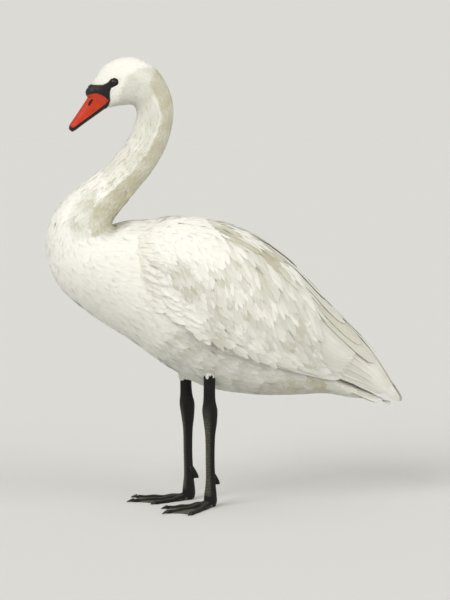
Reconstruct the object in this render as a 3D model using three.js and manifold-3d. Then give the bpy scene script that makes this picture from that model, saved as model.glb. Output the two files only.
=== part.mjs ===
// A mute swan, Cygnus olor, standing at rest: a life-size still model in named pieces.
// Millimetres, +Z up. The bird faces -X, its left side is -Y, and its soles are at Z = 0.
// The body is one lofted form from the face to the rump, parted by thin cuts. The folded wings, the tail,
// the bill and the legs are forms of their own, cut to meet it.
import * as THREE from "three";
import { mergeVertices } from "three/addons/utils/BufferGeometryUtils.js";
import Module from "manifold-3d";

const wasm = await Module();
wasm.setup();

const cut = 0.4; // width of the cut between two neighbouring pieces

// ---------------------------------------------------------------- materials
const finish = (color, roughness) =>
  new THREE.MeshStandardMaterial({ color, roughness, metalness: 0 });
const plumage = finish(0xf3f0e6, 0.85);
const flight = finish(0xf7f5ee, 0.7);
const bareFace = finish(0x131312, 0.5);
const orangeBill = finish(0xd8481c, 0.45);
const blackHorn = finish(0x151413, 0.4);
const iris = finish(0x1c120b, 0.1);
const legSkin = finish(0x1b1a1a, 0.6);

// ------------------------------------------------------- curves and surfaces

// Catmull-Rom spline through equally spaced rows of numbers, read at t = 0 to rows.length - 1.
function spline(rows, t) {
  const last = rows.length - 1;
  const i = Math.max(0, Math.min(Math.floor(t), last - 1));
  const f = t - i;
  return rows[i].map((b, c) => {
    const d = rows[i + 1][c];
    const a = i > 0 ? rows[i - 1][c] : 2 * b - d;
    const e = i + 2 <= last ? rows[i + 2][c] : 2 * d - b;
    return b + 0.5 * f * (d - a + f * (2 * a - 5 * b + 4 * d - e + f * (3 * b - a - 3 * d + e)));
  });
}

const steps = (from, to, count) =>
  Array.from({ length: count + 1 }, (_, i) => from + ((to - from) * i) / count);

// A closed body from rings of points, each with as many points as the next. Both ends get flat caps.
function loft(rings) {
  const n = rings[0].length;
  const points = rings.flat();
  const faces = [];
  for (let r = 0; r + 1 < rings.length; r++) {
    for (let k = 0; k < n; k++) {
      const a = r * n + k;
      const b = r * n + ((k + 1) % n);
      faces.push(a, b, b + n, a, b + n, a + n);
    }
  }
  [rings[0], rings.at(-1)].forEach((ring, end) => {
    const start = end ? (rings.length - 1) * n : 0;
    const middle = ring.reduce((sum, p) => sum.add(p), new THREE.Vector3()).divideScalar(n);
    points.push(middle);
    for (let k = 0; k < n; k++) {
      const [a, b] = [start + k, start + ((k + 1) % n)];
      faces.push(points.length - 1, ...(end ? [a, b] : [b, a]));
    }
  });
  return solid(new THREE.BufferGeometry().setFromPoints(points).setIndex(faces));
}

// A closed plate between an outer and an inner sheet, each a function of (a, b) from 0 to 1.
function plate(outer, inner, na, nb) {
  const rings = steps(0, 1, na).map((a) => [
    ...steps(0, 1, nb).map((b) => outer(a, b)),
    ...steps(1, 0, nb).map((b) => inner(a, b)),
  ]);
  return loft(rings);
}

// ------------------------------------------------------------ solid helpers

// The geometry as a manifold solid with its faces pointing out.
function solid(geometry) {
  const bare = geometry.clone();
  bare.deleteAttribute("normal");
  bare.deleteAttribute("uv");
  const merged = mergeVertices(bare, 1e-4);
  const corners = merged.index.array;
  const kept = [];
  for (let i = 0; i < corners.length; i += 3) {
    const [a, b, c] = corners.slice(i, i + 3);
    if (a !== b && b !== c && c !== a) kept.push(a, b, c);
  }
  const make = () =>
    new wasm.Manifold(
      new wasm.Mesh({
        numProp: 3,
        vertProperties: new Float32Array(merged.attributes.position.array),
        triVerts: new Uint32Array(kept),
      }),
    );
  const made = make();
  if (made.volume() > 0) return made;
  for (let i = 0; i < kept.length; i += 3) {
    [kept[i + 1], kept[i + 2]] = [kept[i + 2], kept[i + 1]];
  }
  return make();
}

// The largest body of a solid, without the crumbs that a cut can leave.
function largest(shape) {
  return shape.decompose().reduce((best, s) => (s.volume() > best.volume() ? s : best));
}

const joined = (shapes) => shapes.reduce((sum, s) => sum.add(s));

const swan = new THREE.Group();

// Adds a solid to the model as a named mesh.
function add(name, shape, material) {
  const mesh = largest(shape).getMesh();
  const corners = [];
  for (let i = 0; i < mesh.numVert; i++) {
    const at = i * mesh.numProp;
    corners.push(...mesh.vertProperties.subarray(at, at + 3));
  }
  const geometry = new THREE.BufferGeometry();
  geometry.setAttribute("position", new THREE.Float32BufferAttribute(corners, 3));
  geometry.setIndex(Array.from(mesh.triVerts));
  geometry.computeVertexNormals();
  const piece = new THREE.Mesh(geometry, material);
  piece.name = name;
  swan.add(piece);
}

// ------------------------------------------------------------ head to rump

// Where the body is crossed by flat sections: the dorsal and the ventral point in the middle plane,
// the half width, the section's squareness (2 is an ellipse), and how far its widest part lies
// towards the back (+) or the belly (-).
const bodyStations = [
  { name: "face", back: [-241, 731], belly: [-211, 693], half: 19, power: 2.2, lean: 0 },
  { name: "brow", back: [-216, 767], belly: [-191, 697], half: 28, power: 2.2, lean: -0.05 },
  { name: "crown", back: [-170, 780], belly: [-169, 698], half: 33, power: 2.1, lean: -0.08 },
  { name: "nape", back: [-124, 755], belly: [-162, 688], half: 32, power: 2.1, lean: 0 },
  { name: "neck top", back: [-99, 701], belly: [-163, 673], half: 30, power: 2, lean: 0 },
  { name: "upper neck", back: [-105, 644], belly: [-175, 644], half: 30, power: 2, lean: 0 },
  { name: "middle neck", back: [-130, 592], belly: [-209, 600], half: 34, power: 2, lean: 0 },
  { name: "lower neck", back: [-171, 541], belly: [-264, 557], half: 43, power: 2, lean: 0 },
  { name: "neck base", back: [-203, 501], belly: [-304, 515], half: 57, power: 2, lean: 0.05 },
  { name: "crop", back: [-203, 489], belly: [-320, 455], half: 82, power: 2.1, lean: 0.1 },
  { name: "breast", back: [-183, 496], belly: [-300, 389], half: 108, power: 2.2, lean: 0.08 },
  { name: "shoulders", back: [-150, 499], belly: [-246, 338], half: 122, power: 2.3, lean: 0.05 },
  { name: "keel", back: [-106, 500], belly: [-178, 293], half: 127, power: 2.35, lean: 0 },
  { name: "back", back: [-51, 490], belly: [-113, 246], half: 128, power: 2.3, lean: 0 },
  { name: "belly", back: [11, 456], belly: [-46, 208], half: 122, power: 2.05, lean: 0.08 },
  { name: "vent", back: [75, 392], belly: [35, 192], half: 102, power: 2, lean: 0.04 },
  { name: "rump", back: [131, 312], belly: [111, 189], half: 72, power: 2, lean: 0 },
  { name: "tail root", back: [175, 246], belly: [171, 190], half: 44, power: 2, lean: 0 },
  { name: "tail coverts", back: [219, 208], belly: [217, 182], half: 32, power: 2, lean: 0 },
  { name: "coverts end", back: [255, 189], belly: [253, 179], half: 16, power: 2, lean: 0 },
];
const bodyRows = bodyStations.map((s) => [...s.back, ...s.belly, s.half, s.power, s.lean]);
const stationAt = (name) => bodyStations.findIndex((s) => s.name === name);

// One section of the body at t stations from the face, grown outwards by some millimetres and moved
// by shift along the body.
function bodyRing(t, count, grow = 0, shift = 0) {
  const [dx, dz, vx, vz, half, power, lean] = spline(bodyRows, t);
  const up = new THREE.Vector3(dx - vx, 0, dz - vz);
  const tall = up.length() / 2;
  up.normalize();
  const forth = new THREE.Vector3(up.z, 0, -up.x);
  const middle = new THREE.Vector3((dx + vx) / 2, 0, (dz + vz) / 2).addScaledVector(forth, shift);
  return steps(0, 2 * Math.PI, count).slice(0, -1).map((angle) => {
    const [c, s] = [Math.cos(angle), Math.sin(angle)];
    const rise = Math.sign(c) * Math.abs(c) ** (2 / power) * (tall + grow);
    const out = Math.sign(s) * Math.abs(s) ** (2 / power) * (half + grow) * (1 + lean * c);
    return middle.clone().addScaledVector(up, rise).add(new THREE.Vector3(0, out, 0));
  });
}

// All body pieces share the same ring spacing and ring points, so that their faces meet.
const ringStep = 0.4; // in stations
const ringPoints = 22;

// Where the body is parted, in stations. Each length is a whole number of ring steps.
const bodyPieces = [
  { name: "head", from: 0, to: stationAt("neck top") },
  { name: "neck_upper", from: stationAt("neck top"), to: 5.2 },
  { name: "neck_middle", from: 5.2, to: 6.8 },
  { name: "neck_lower", from: 6.8, to: stationAt("neck base") },
  { name: "breast", from: stationAt("neck base"), to: 11.2 },
  { name: "trunk", from: 11.2, to: 15.2 },
  { name: "rump", from: 15.2, to: 18.8 },
];

// The body between two stations, with half a cut taken off each end, or grown on its sides.

function bodyPiece({ from, to }, grow = 0) {
  const rings = Math.round((to - from) / ringStep);
  const end = grow ? 0 : cut / 2;
  return loft(
    steps(from, to, rings).map((t, i) => {
      const shift = i === 0 ? end : i === rings ? -end : 0;
      return bodyRing(t, ringPoints, grow, shift);
    }),
  );
}

const headPiece = bodyPieces[0];
const grownHead = bodyPiece(headPiece, cut);
const grownBody = bodyPiece({ from: bodyPieces[2].from, to: bodyPieces.at(-1).to }, cut);

const eye = { x: -205, y: 24.5, z: 737, radius: 6.6 };

function eyeball(side, grow = 0) {
  const ball = new THREE.SphereGeometry(eye.radius + grow, 10, 7);
  ball.translate(eye.x, side * eye.y, eye.z);
  return solid(ball);
}

const sockets = eyeball(-1, cut).add(eyeball(1, cut));
for (const piece of bodyPieces) {
  const form = bodyPiece(piece);
  add(piece.name, piece === headPiece ? form.subtract(sockets) : form, plumage);
}
add("eye_left", eyeball(-1), iris);
add("eye_right", eyeball(1), iris);

// ------------------------------------------------------------------- bill

// The bill in its own frame: u runs from the face to the tip, v towards the culmen.
const bill = {
  root: new THREE.Vector3(-226, 0, 712),
  forward: new THREE.Vector3(-0.681, 0, -0.732),
  up: new THREE.Vector3(-0.732, 0, 0.681),
  boxiness: 0.8, // below 1 the section is squarer than a half circle
  sides: { upper: 10, lower: 8 }, // facets round each half
  rings: 7,
};
const billPoint = (u, y, v) =>
  bill.root
    .clone()
    .addScaledVector(bill.forward, u)
    .addScaledVector(bill.up, v)
    .add(new THREE.Vector3(0, y, 0));

// Along the bill: distance from the face, culmen height, mouth line, underside, half width.
const billRows = [
  [2, 20, -15.5, -22.5, 18],
  [16, 14.5, -13.5, -19.5, 15.5],
  [32, 11.6, -10.6, -16.2, 13.4],
  [48, 9, -7.4, -12.8, 12.6],
  [62, 7, -4.6, -9.8, 12.4],
  [71, 5.4, -3, -8.2, 10.4],
  [77, 1.6, -2.4, -5.6, 4.6],
];

// A half-round section: curved from edge to edge over crest, flat along the mouth.
function billRing(u, crest, edge, half, count) {
  return steps(0, Math.PI, count).map((angle) => {
    const [c, s] = [Math.cos(angle), Math.sin(angle)];
    const y = Math.sign(c) * Math.abs(c) ** bill.boxiness * half;
    return billPoint(u, y, edge + (crest - edge) * s ** 0.9);
  });
}

const billEnd = billRows.length - 1;
const nail = { start: 5.15, gap: 0.03, rise: 0.3, rings: 3 }; // start and gap in bill rows
const underbite = 1; // how much narrower the lower half is on each side

function upperBill(from, to, rings, grow = 0) {
  return loft(
    steps(from, to, rings).map((t) => {
      const [u, culmen, mouth, , half] = spline(billRows, t);
      return billRing(u, culmen + grow, mouth, half + grow, bill.sides.upper);
    }),
  );
}

function lowerBill(grow = 0) {
  return loft(
    steps(0, billEnd, bill.rings).map((t) => {
      const [u, , mouth, under, half] = spline(billRows, t);
      const reach = half - underbite + grow;
      return billRing(u, under - grow, mouth - cut + grow, reach, bill.sides.lower);
    }),
  );
}

const grownBill = upperBill(0, billEnd, bill.rings, cut).add(lowerBill(cut));
add("bill_upper", upperBill(0, nail.start - nail.gap, bill.rings).subtract(grownHead), orangeBill);
add("bill_nail", upperBill(nail.start + nail.gap, billEnd, nail.rings, nail.rise), blackHorn);
add("bill_lower", lowerBill().subtract(grownHead), blackHorn);

// The bare black skin from the bill to the eye: a thin plate on each side of the head, between a top
// and a bottom edge given as angles from the crown down.
const loreEdges = [
  [4, 176],
  [46, 146],
  [62, 118],
  [72, 94],
];
const loreReach = [0.9, 0.5]; // along the top and the bottom edge, in body stations
const loreDepth = { rise: 1.8, sink: 2 }; // above and below the head's surface

function lore(side, grow = 0) {
  const point = (a, b, lift) => {
    const edges = spline(loreEdges, a * (loreEdges.length - 1));
    const down = THREE.MathUtils.degToRad(THREE.MathUtils.lerp(...edges, b));
    const t = 0.01 + a * THREE.MathUtils.lerp(...loreReach, b);
    const [dx, dz, vx, vz, half, power, lean] = spline(bodyRows, t);
    const up = new THREE.Vector3(dx - vx, 0, dz - vz);
    const tall = up.length() / 2;
    up.normalize();
    const rise = Math.sign(Math.cos(down)) * Math.abs(Math.cos(down)) ** (2 / power) * (tall + lift);
    const out = Math.sin(down) ** (2 / power) * (half + lift) * (1 + lean * Math.cos(down));
    const middle = new THREE.Vector3((dx + vx) / 2, 0, (dz + vz) / 2);
    return middle.addScaledVector(up, rise).add(new THREE.Vector3(0, side * out, 0));
  };
  const { rise, sink } = loreDepth;
  return plate((a, b) => point(a, b, rise + grow), (a, b) => point(a, b, -sink), 4, 4);
}

const bareSkin = (side) => lore(side).subtract(grownHead).subtract(grownBill);
add("lore_left", bareSkin(-1).subtract(eyeball(-1, cut)), bareFace);
add("lore_right", bareSkin(1).subtract(eyeball(1, cut)), bareFace);

// The knob over the base of the bill, leaning along it.
const knob = { radii: [12.2, 10, 11.6], pitch: 0.82, centre: billPoint(4, 0, 15.6) };
const knobShape = new THREE.SphereGeometry(1, 12, 7);
knobShape.scale(...knob.radii);
knobShape.rotateY(-knob.pitch);
knobShape.translate(...knob.centre.toArray());
const knobBed = joined([grownBill, grownHead, lore(-1, cut), lore(1, cut)]);
add("bill_knob", solid(knobShape).subtract(knobBed), blackHorn);

// ------------------------------------------------------------------ wings

// The left wing's middle sheet, from the wrist to the tip: across each row it is a curve from the
// edge over the back, drawn out by a pull point, to the edge on the flank.
const wingStations = [
  { edge: [-167, -72, 472], pull: [-193, -112, 452], hem: [-187, -104, 386], thick: 9 },
  { edge: [-99, -36, 502], pull: [-99, -172, 497], hem: [-101, -127, 341], thick: 14 },
  { edge: [1, -21, 488], pull: [-3, -184, 472], hem: [-3, -127, 287], thick: 13 },
  { edge: [90, -15, 435], pull: [89, -163, 409], hem: [88, -98, 257], thick: 9 },
  { edge: [173, -11, 354], pull: [171, -112, 318], hem: [173, -60, 229], thick: 7 },
  { edge: [255, -9, 268], pull: [253, -56, 246], hem: [251, -28, 200], thick: 5 },
  { edge: [313, -8, 176], pull: [310, -14, 174], hem: [303, -9, 170], thick: 3 },
];
const wingRows = wingStations.map((s) => [...s.edge, ...s.pull, ...s.hem, s.thick]);

function wingSheet(t, v) {
  const row = spline(wingRows, t);
  const [edge, pull, hem] = [0, 3, 6].map((i) => new THREE.Vector3(...row.slice(i, i + 3)));
  const point = edge.multiplyScalar((1 - v) ** 2);
  return point.addScaledVector(pull, 2 * v * (1 - v)).addScaledVector(hem, v * v);
}

// A point lift millimetres outside the wing's middle sheet.
function wingPoint(t, v, lift) {
  const d = 0.01;
  const along = wingSheet(t + d, v).sub(wingSheet(t - d, v));
  const across = wingSheet(t, v + d).sub(wingSheet(t, v - d));
  return wingSheet(t, v).addScaledVector(across.cross(along).normalize(), lift);
}

// Moves the first and the last line of a sheet outwards and leaves the lines between them.
const rimShift = (a, by) => (a === 0 ? -by : a === 1 ? by : 0);

// A part of the wing between two lines across it, from v0 to v1, raised a little, thinner at the rims,
// and grown on every side by some millimetres.
function wingPart({ start, end, v0, v1, raise, share, na, nb }, grow = 0) {
  const more = grow / wingSpacing;
  const at = (a, b, side) => {
    const v = THREE.MathUtils.lerp(v0, v1, b) + rimShift(b, more / 2);
    const t = THREE.MathUtils.lerp(start(v), end(v), a) + rimShift(a, more);
    const rim = THREE.MathUtils.clamp(0.4 + 3 * Math.min(v, 1 - v), 0.4, 1);
    const half = (spline(wingRows, t)[9] / 2) * rim * share + grow;
    return wingPoint(t, v, side > 0 ? raise + half : -half);
  };
  return plate((a, b) => at(a, b, 1), (a, b) => at(a, b, -1), na, nb);
}

const wingSpacing = 90; // millimetres between two stations
const split = 0.42; // between the tertials and the secondaries

// The rear edge of each group, in stations, with a round step for each feather tip.
const tips = (v, count, depth) => depth * (1 - Math.abs(Math.sin(Math.PI * count * v)));
const covertEdge = (v) => 2.75 - 0.35 * v - tips(v, 4, 0.12);
const tertialEdge = (v) => 3.5 + 3.6 * v - tips(v, 3 / split, 0.3);
const secondaryEdge = (v) => 4.75 - 0.5 * v - tips((v - split) / (1 - split), 3, 0.12);

const covertSpec = {
  start: () => 0,
  end: covertEdge,
  v0: 0,
  v1: 1,
  raise: 2.5,
  share: 1,
  na: 7,
  nb: 12,
};
const tertialSpec = {
  start: () => 2.4,
  end: tertialEdge,
  v0: 0,
  v1: split,
  raise: 2,
  share: 0.9,
  na: 5,
  nb: 9,
};
const secondarySpec = {
  start: () => 2.2,
  end: secondaryEdge,
  v0: split - 0.04, // tucked under the last tertial
  v1: 1,
  raise: 0.8,
  share: 0.85,
  na: 5,
  nb: 7,
};
const primarySpec = {
  start: (v) => 3.2 + 0.9 * Math.min(v / split, 1),
  end: () => 6,
  v0: 0,
  v1: 1,
  raise: -0.5,
  share: 0.6,
  na: 5,
  nb: 4,
};

// Each group is cut to fit under the ones in front of it.
const covertsBed = wingPart(covertSpec, cut);
const tertialsBed = covertsBed.add(wingPart(tertialSpec, cut));
const secondariesBed = tertialsBed.add(wingPart(secondarySpec, cut));
const wingGroups = {
  coverts: wingPart(covertSpec),
  tertials: wingPart(tertialSpec).subtract(covertsBed),
  secondaries: wingPart(secondarySpec).subtract(tertialsBed),
  primaries: wingPart(primarySpec).subtract(secondariesBed),
};

// The right wing is carried a little further back than the left one.
const slide = 5;
for (const [name, shape] of Object.entries(wingGroups)) {
  const material = name === "coverts" ? plumage : flight;
  const left = shape.translate([-slide, 0, slide / 2]);
  const right = shape.mirror([0, 1, 0]).translate([slide, 0, -slide / 2]);
  add("wing_left_" + name, left.subtract(grownBody), material);
  add("wing_right_" + name, right.subtract(grownBody), material);
}

// ------------------------------------------------------------------- tail

const tail = {
  root: new THREE.Vector3(183, 0, 209),
  slope: 0.34, // drop for each millimetre of run
  arch: 0.004, // drop to the sides, for each square millimetre
  length: 95, // of the middle feathers
  shorter: 0.22, // by how much of it the outer ones fall short
  halfWidth: [20, 46], // at the root and at the tips
  feathers: 7, // tips along the rear edge
  thick: [8, 3],
};

// The tail is a low roof that widens to the rear and ends in a row of round tips.
function tailSheet(a, b, side) {
  const across = 2 * b - 1;
  const tip = 1 - tail.shorter * across ** 2 - tips(b, tail.feathers, 0.08);
  const y = across * THREE.MathUtils.lerp(...tail.halfWidth, a);
  const x = tail.root.x + a * tail.length * tip;
  const z = tail.root.z - (x - tail.root.x) * tail.slope - tail.arch * y * y;
  return new THREE.Vector3(x, y, z + (side * THREE.MathUtils.lerp(...tail.thick, a)) / 2);
}

const tailForm = plate((a, b) => tailSheet(a, b, 1), (a, b) => tailSheet(a, b, -1), 3, 14);
add("tail", tailForm.subtract(grownBody), flight);

// ------------------------------------------------------------------- legs

// An upright limb from rows of x, y, z, fore-and-aft radius and sideways radius.
function limb(rows, count, ringCount) {
  return loft(
    steps(0, rows.length - 1, ringCount).map((t) => {
      const [x, y, z, rx, ry] = spline(rows, t);
      return steps(0, 2 * Math.PI, count)
        .slice(0, -1)
        .map((a) => new THREE.Vector3(x + rx * Math.cos(a), y + ry * Math.sin(a), z));
    }),
  );
}

const stance = { hip: 62, hock: 53, ankle: 41 }; // from the middle plane to each leg
const legs = [
  { name: "left", side: -1, knee: -45, hock: -43, ankle: -40, thigh: 224, toeOut: 36 },
  { name: "right", side: 1, knee: -67, hock: -66, ankle: -65, thigh: 217, toeOut: -6 },
];
const hockHeight = 164;
const ankleHeight = 21;
const toes = [
  { name: "inner", angle: 27, length: 80, claw: 10 },
  { name: "middle", angle: 2, length: 102, claw: 12 },
  { name: "outer", angle: -23, length: 94, claw: 10 },
];

// A toe lying on the floor along +X: flat under, round above, with a swelling at each pad and a rise
// to the ankle.
const toeForm = { half: [8, 4.2], high: [7.5, 6], rise: 9, pads: 3, swelling: 0.08 };

function toe({ length }) {
  return loft(
    steps(0, 1, 6).map((a) => {
      const pad = 1 + toeForm.swelling * Math.cos(2 * Math.PI * toeForm.pads * a);
      const half = THREE.MathUtils.lerp(...toeForm.half, a) * pad;
      const high = (THREE.MathUtils.lerp(...toeForm.high, a) + toeForm.rise * (1 - a) ** 4) * pad;
      return steps(0, Math.PI, 4).map(
        (angle) => new THREE.Vector3(a * length, half * Math.cos(angle), high * Math.sin(angle)),
      );
    }),
  );
}

// A claw ahead of the toe: a cone bent down to the floor.
const clawForm = { radius: 3.1, point: 0.35, height: 3.8, drop: 2.6, squeeze: 0.8 };

function claw({ length, claw: reach }) {
  return loft(
    steps(0, 1, 3).map((a) => {
      const x = length + cut + a * reach;
      const r = clawForm.radius * (1 - a) ** 0.7 + clawForm.point;
      const z = clawForm.height - clawForm.drop * a * a;
      return steps(0, 2 * Math.PI, 6)
        .slice(0, -1)
        .map((s) => {
          const low = Math.max(clawForm.point, z + r * Math.sin(s));
          return new THREE.Vector3(x, clawForm.squeeze * r * Math.cos(s), low);
        });
    }),
  );
}

// The web in plan: straight along the inner and the outer toe, hollow between the toe tips.
const webbing = { thick: 2.4, reach: 0.97, hollow: 0.82 }; // reach and hollow as shares of the toes

function web(angles) {
  const corners = toes.map(({ length }, i) =>
    new THREE.Vector2(webbing.reach * length, 0).rotateAround(new THREE.Vector2(), angles[i]),
  );
  const outline = new THREE.Shape([new THREE.Vector2(0, 0)]);
  outline.lineTo(corners[0].x, corners[0].y);
  corners.slice(1).forEach((corner, i) => {
    const middle = corners[i].clone().add(corner).multiplyScalar(webbing.hollow / 2);
    outline.quadraticCurveTo(middle.x, middle.y, corner.x, corner.y);
  });
  outline.closePath();
  const settings = { depth: webbing.thick, bevelEnabled: false, curveSegments: 5 };
  return solid(new THREE.ExtrudeGeometry(outline, settings));
}

const turned = (shape, angle) => shape.rotate([0, 0, THREE.MathUtils.radToDeg(angle)]);
const legBed = bodyPiece({ from: 10, to: 17.2 }, cut); // the underside that the legs are cut to meet

for (const { name, side, knee, hock, ankle, thigh, toeOut } of legs) {
  const [hipY, hockY, ankleY] = [stance.hip, stance.hock, stance.ankle].map((y) => side * y);
  const thighForm = (grow) =>
    limb(
      [
        [knee + 6, hipY, 290, 52, 38],
        [knee + 4, hipY, 258, 40, 31],
        [knee + 1, hipY, 238, 27, 22],
        [knee, hipY, thigh - grow, 14.5, 13.5],
      ].map(([x, y, z, rx, ry]) => [x, y, z, rx + grow, ry + grow]),
      16,
      5,
    );
  add("thigh_" + name, thighForm(0).subtract(legBed), plumage);
  const shank = limb(
    [
      [knee, hipY, thigh + 30, 10.5, 9.5],
      [knee, hipY - side * 2, 205, 10.2, 9],
      [hock - 1, hockY + side * 2, 186, 11, 9.6],
      [hock, hockY, hockHeight + 6, 13.6, 11.4],
    ],
    10,
    4,
  );
  add("shank_" + name, shank.subtract(thighForm(cut)).subtract(legBed), legSkin);
  const tarsus = (grow) =>
    limb(
      [
        [hock, hockY, hockHeight + 6 - cut, 13.6, 11.4],
        [hock + 1, hockY - side, 148, 11.6, 9.4],
        [hock + 1, hockY - side * 2.5, 124, 8.8, 7.2],
        [(hock + ankle) / 2, (hockY + ankleY) / 2, 85, 8, 6.6],
        [ankle, ankleY + side * 1.5, 46, 8.6, 7.4],
        [ankle, ankleY, ankleHeight, 11.4, 11],
      ].map(([x, y, z, rx, ry]) => [x, y, z, rx + grow, ry + grow]),
      10,
      8,
    );
  add("tarsus_" + name, tarsus(0), legSkin);

  // The foot is made along +X, turned to point forward and out, and set under the ankle.
  const angles = toes.map((t) => Math.PI - side * THREE.MathUtils.degToRad(toeOut - t.angle));
  const hub = limb(
    [
      [0, 0, ankleHeight - cut, 11, 10.6],
      [0, 0, 12, 12, 11.6],
      [-1, 0, 0, 10.5, 10.5],
    ],
    12,
    3,
  );
  const foot = joined([hub, web(angles), ...toes.map((t, i) => turned(toe(t), angles[i]))]);
  add("foot_" + name, foot.translate([ankle, ankleY, 0]), legSkin);
  toes.forEach((t, i) => {
    const tip = turned(claw(t), angles[i]).translate([ankle, ankleY, 0]);
    add(`claw_${name}_${t.name}`, tip, blackHorn);
  });
  const hindToe = limb(
    [
      [ankle + 6, ankleY - side * 3, 52, 3.6, 4.4],
      [ankle + 12, ankleY - side * 4, 44, 3.8, 4],
      [ankle + 16, ankleY - side * 5, 36, 3, 3.2],
    ],
    7,
    3,
  );
  add("hind_toe_" + name, hindToe.subtract(tarsus(cut)), legSkin);
}

export default swan;
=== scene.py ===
# Mute swan, life size and standing: one skin, its plumage in laid vanes, bill, eyes, legs and feet.
# Shapes are worked out in millimetres and go into each mesh in metres. +Z is up, the bird faces -X.
import bpy
import numpy as np
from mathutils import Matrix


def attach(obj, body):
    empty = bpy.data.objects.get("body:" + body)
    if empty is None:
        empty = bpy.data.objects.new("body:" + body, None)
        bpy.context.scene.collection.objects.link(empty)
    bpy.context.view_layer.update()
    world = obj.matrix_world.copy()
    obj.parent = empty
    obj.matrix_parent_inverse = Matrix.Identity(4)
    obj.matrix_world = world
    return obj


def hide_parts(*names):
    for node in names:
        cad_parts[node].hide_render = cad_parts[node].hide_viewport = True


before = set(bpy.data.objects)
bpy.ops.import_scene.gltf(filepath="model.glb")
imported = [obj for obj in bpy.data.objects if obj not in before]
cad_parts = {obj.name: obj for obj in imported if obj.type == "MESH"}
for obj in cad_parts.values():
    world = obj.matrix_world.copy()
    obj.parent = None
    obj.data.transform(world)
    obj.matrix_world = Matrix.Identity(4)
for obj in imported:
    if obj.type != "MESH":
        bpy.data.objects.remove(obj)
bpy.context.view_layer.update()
mm = 0.001


# Small maths.

def unit(v):
    # each vector divided by its own length
    return v / np.maximum(np.linalg.norm(v, axis=-1, keepdims=True), 1e-9)


def ease(x, low, high):
    # 3s^2 - 2s^3, where s runs from 0 at low to 1 at high and is held outside them
    s = np.clip((x - low) / (high - low), 0, 1)
    return s * s * (3 - 2 * s)


def mix(a, b, share):
    # from a at share 0 to b at share 1
    return a + (b - a) * share


def along(rows, t):
    # Catmull-Rom curve through equally spaced rows, read at every t, straight past the ends
    rows, t = np.asarray(rows, float), np.asarray(t, float)
    last = len(rows) - 1
    i = np.clip(np.floor(t), 0, last - 1).astype(int)
    f = (t - i)[..., None]
    b, d = rows[i], rows[i + 1]
    a = np.where((i > 0)[..., None], rows[np.maximum(i - 1, 0)], 2 * b - d)
    e = np.where((i + 2 <= last)[..., None], rows[np.minimum(i + 2, last)], 2 * d - b)
    return b + f / 2 * (d - a + f * (2 * a - 5 * b + 4 * d - e + f * (3 * b - a - 3 * d + e)))


def crowded(low, high, count, centres, width, gain):
    # steps from low to high that close up round the centres: equal shares of 1 + gain times a bell
    x = np.linspace(low, high, 4000)
    density = 1 + gain * sum(np.exp(-((x - c) / width) ** 2) for c in centres)
    share = np.concatenate([[0], np.cumsum(density[1:] + density[:-1])])
    return np.interp(np.linspace(0, 1, count), share / share[-1], x)


def outlineDistance(outline, x, z):
    # distance to a closed outline: the least over its edges, negative where a ray crosses it an odd
    # number of times
    best, inside = np.full(np.shape(x), 1e9), np.zeros(np.shape(x), bool)
    for (x0, z0), (x1, z1) in zip(outline, np.roll(outline, -1, 0)):
        dx, dz = x1 - x0, z1 - z0
        s = np.clip(((x - x0) * dx + (z - z0) * dz) / (dx * dx + dz * dz), 0, 1)
        best = np.minimum(best, np.hypot(x - x0 - s * dx, z - z0 - s * dz))
        crosses = (z0 > z) != (z1 > z)
        inside ^= crosses & (x < x0 + (z - z0) * dx / (dz if dz else 1e-9))
    return np.where(inside, -best, best)


def surfaceFrame(surface, a, b, sign=1):
    # point, both tangents by central differences, and their unit cross product pointing out
    step = 0.01
    ta = (surface(a + step, b) - surface(a - step, b)) / (2 * step)
    tb = (surface(a, b + step) - surface(a, b - step)) / (2 * step)
    return surface(a, b), ta, tb, sign * unit(np.cross(ta, tb))


def surfaceStep(ta, tb, move):
    # how far a and b change for a move along the surface: the two tangents' equations solved
    g11, g12, g22 = (ta * ta).sum(-1), (ta * tb).sum(-1), (tb * tb).sum(-1)
    r1, r2 = (ta * move).sum(-1), (tb * move).sum(-1)
    det = np.maximum(g11 * g22 - g12 * g12, 1e-6)
    return (g22 * r1 - g12 * r2) / det, (g11 * r2 - g12 * r1) / det


# Meshes and materials.

def tubeFaces(rings, count):
    # four-cornered faces between each ring of points and the next
    r, k = np.meshgrid(np.arange(rings - 1), np.arange(count), indexing="ij")
    a, b = r * count + k, r * count + (k + 1) % count
    return np.stack([a, b, b + count, a + count], -1).reshape(-1, 4)


def capFaces(start, count, centre, flip):
    # a fan of triangles from the ring that begins at start to its middle point
    k = np.arange(count)
    a, b = start + k, start + (k + 1) % count
    return np.stack([np.full(count, centre)] + ([a, b] if flip else [b, a]), -1)


def closedTube(rings):
    # rings (n, k, 3) of points, joined in order, each end closed by a fan to its middle
    n, k = rings.shape[:2]
    points = np.concatenate([rings.reshape(-1, 3), [rings[0].mean(0), rings[-1].mean(0)]])
    fans = np.concatenate([capFaces(0, k, n * k, False), capFaces((n - 1) * k, k, n * k + 1, True)])
    return points, [tubeFaces(n, k), fans]


def outward(points, faces):
    # the faces, turned round if the signed volume under them is negative
    volume = 0
    for f in faces:
        for i in range(1, f.shape[1] - 1):
            p, q, r = points[f[:, 0]], points[f[:, i]], points[f[:, i + 1]]
            volume += (p * np.cross(q, r)).sum()
    return faces if volume > 0 else [f[:, ::-1] for f in faces]


def joined(parts):
    # several (points, faces) as one
    points, faces, start = [], [], 0
    for p, fs in parts:
        points.append(p)
        faces += [f + start for f in fs]
        start += len(p)
    return np.concatenate(points), faces


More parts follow.
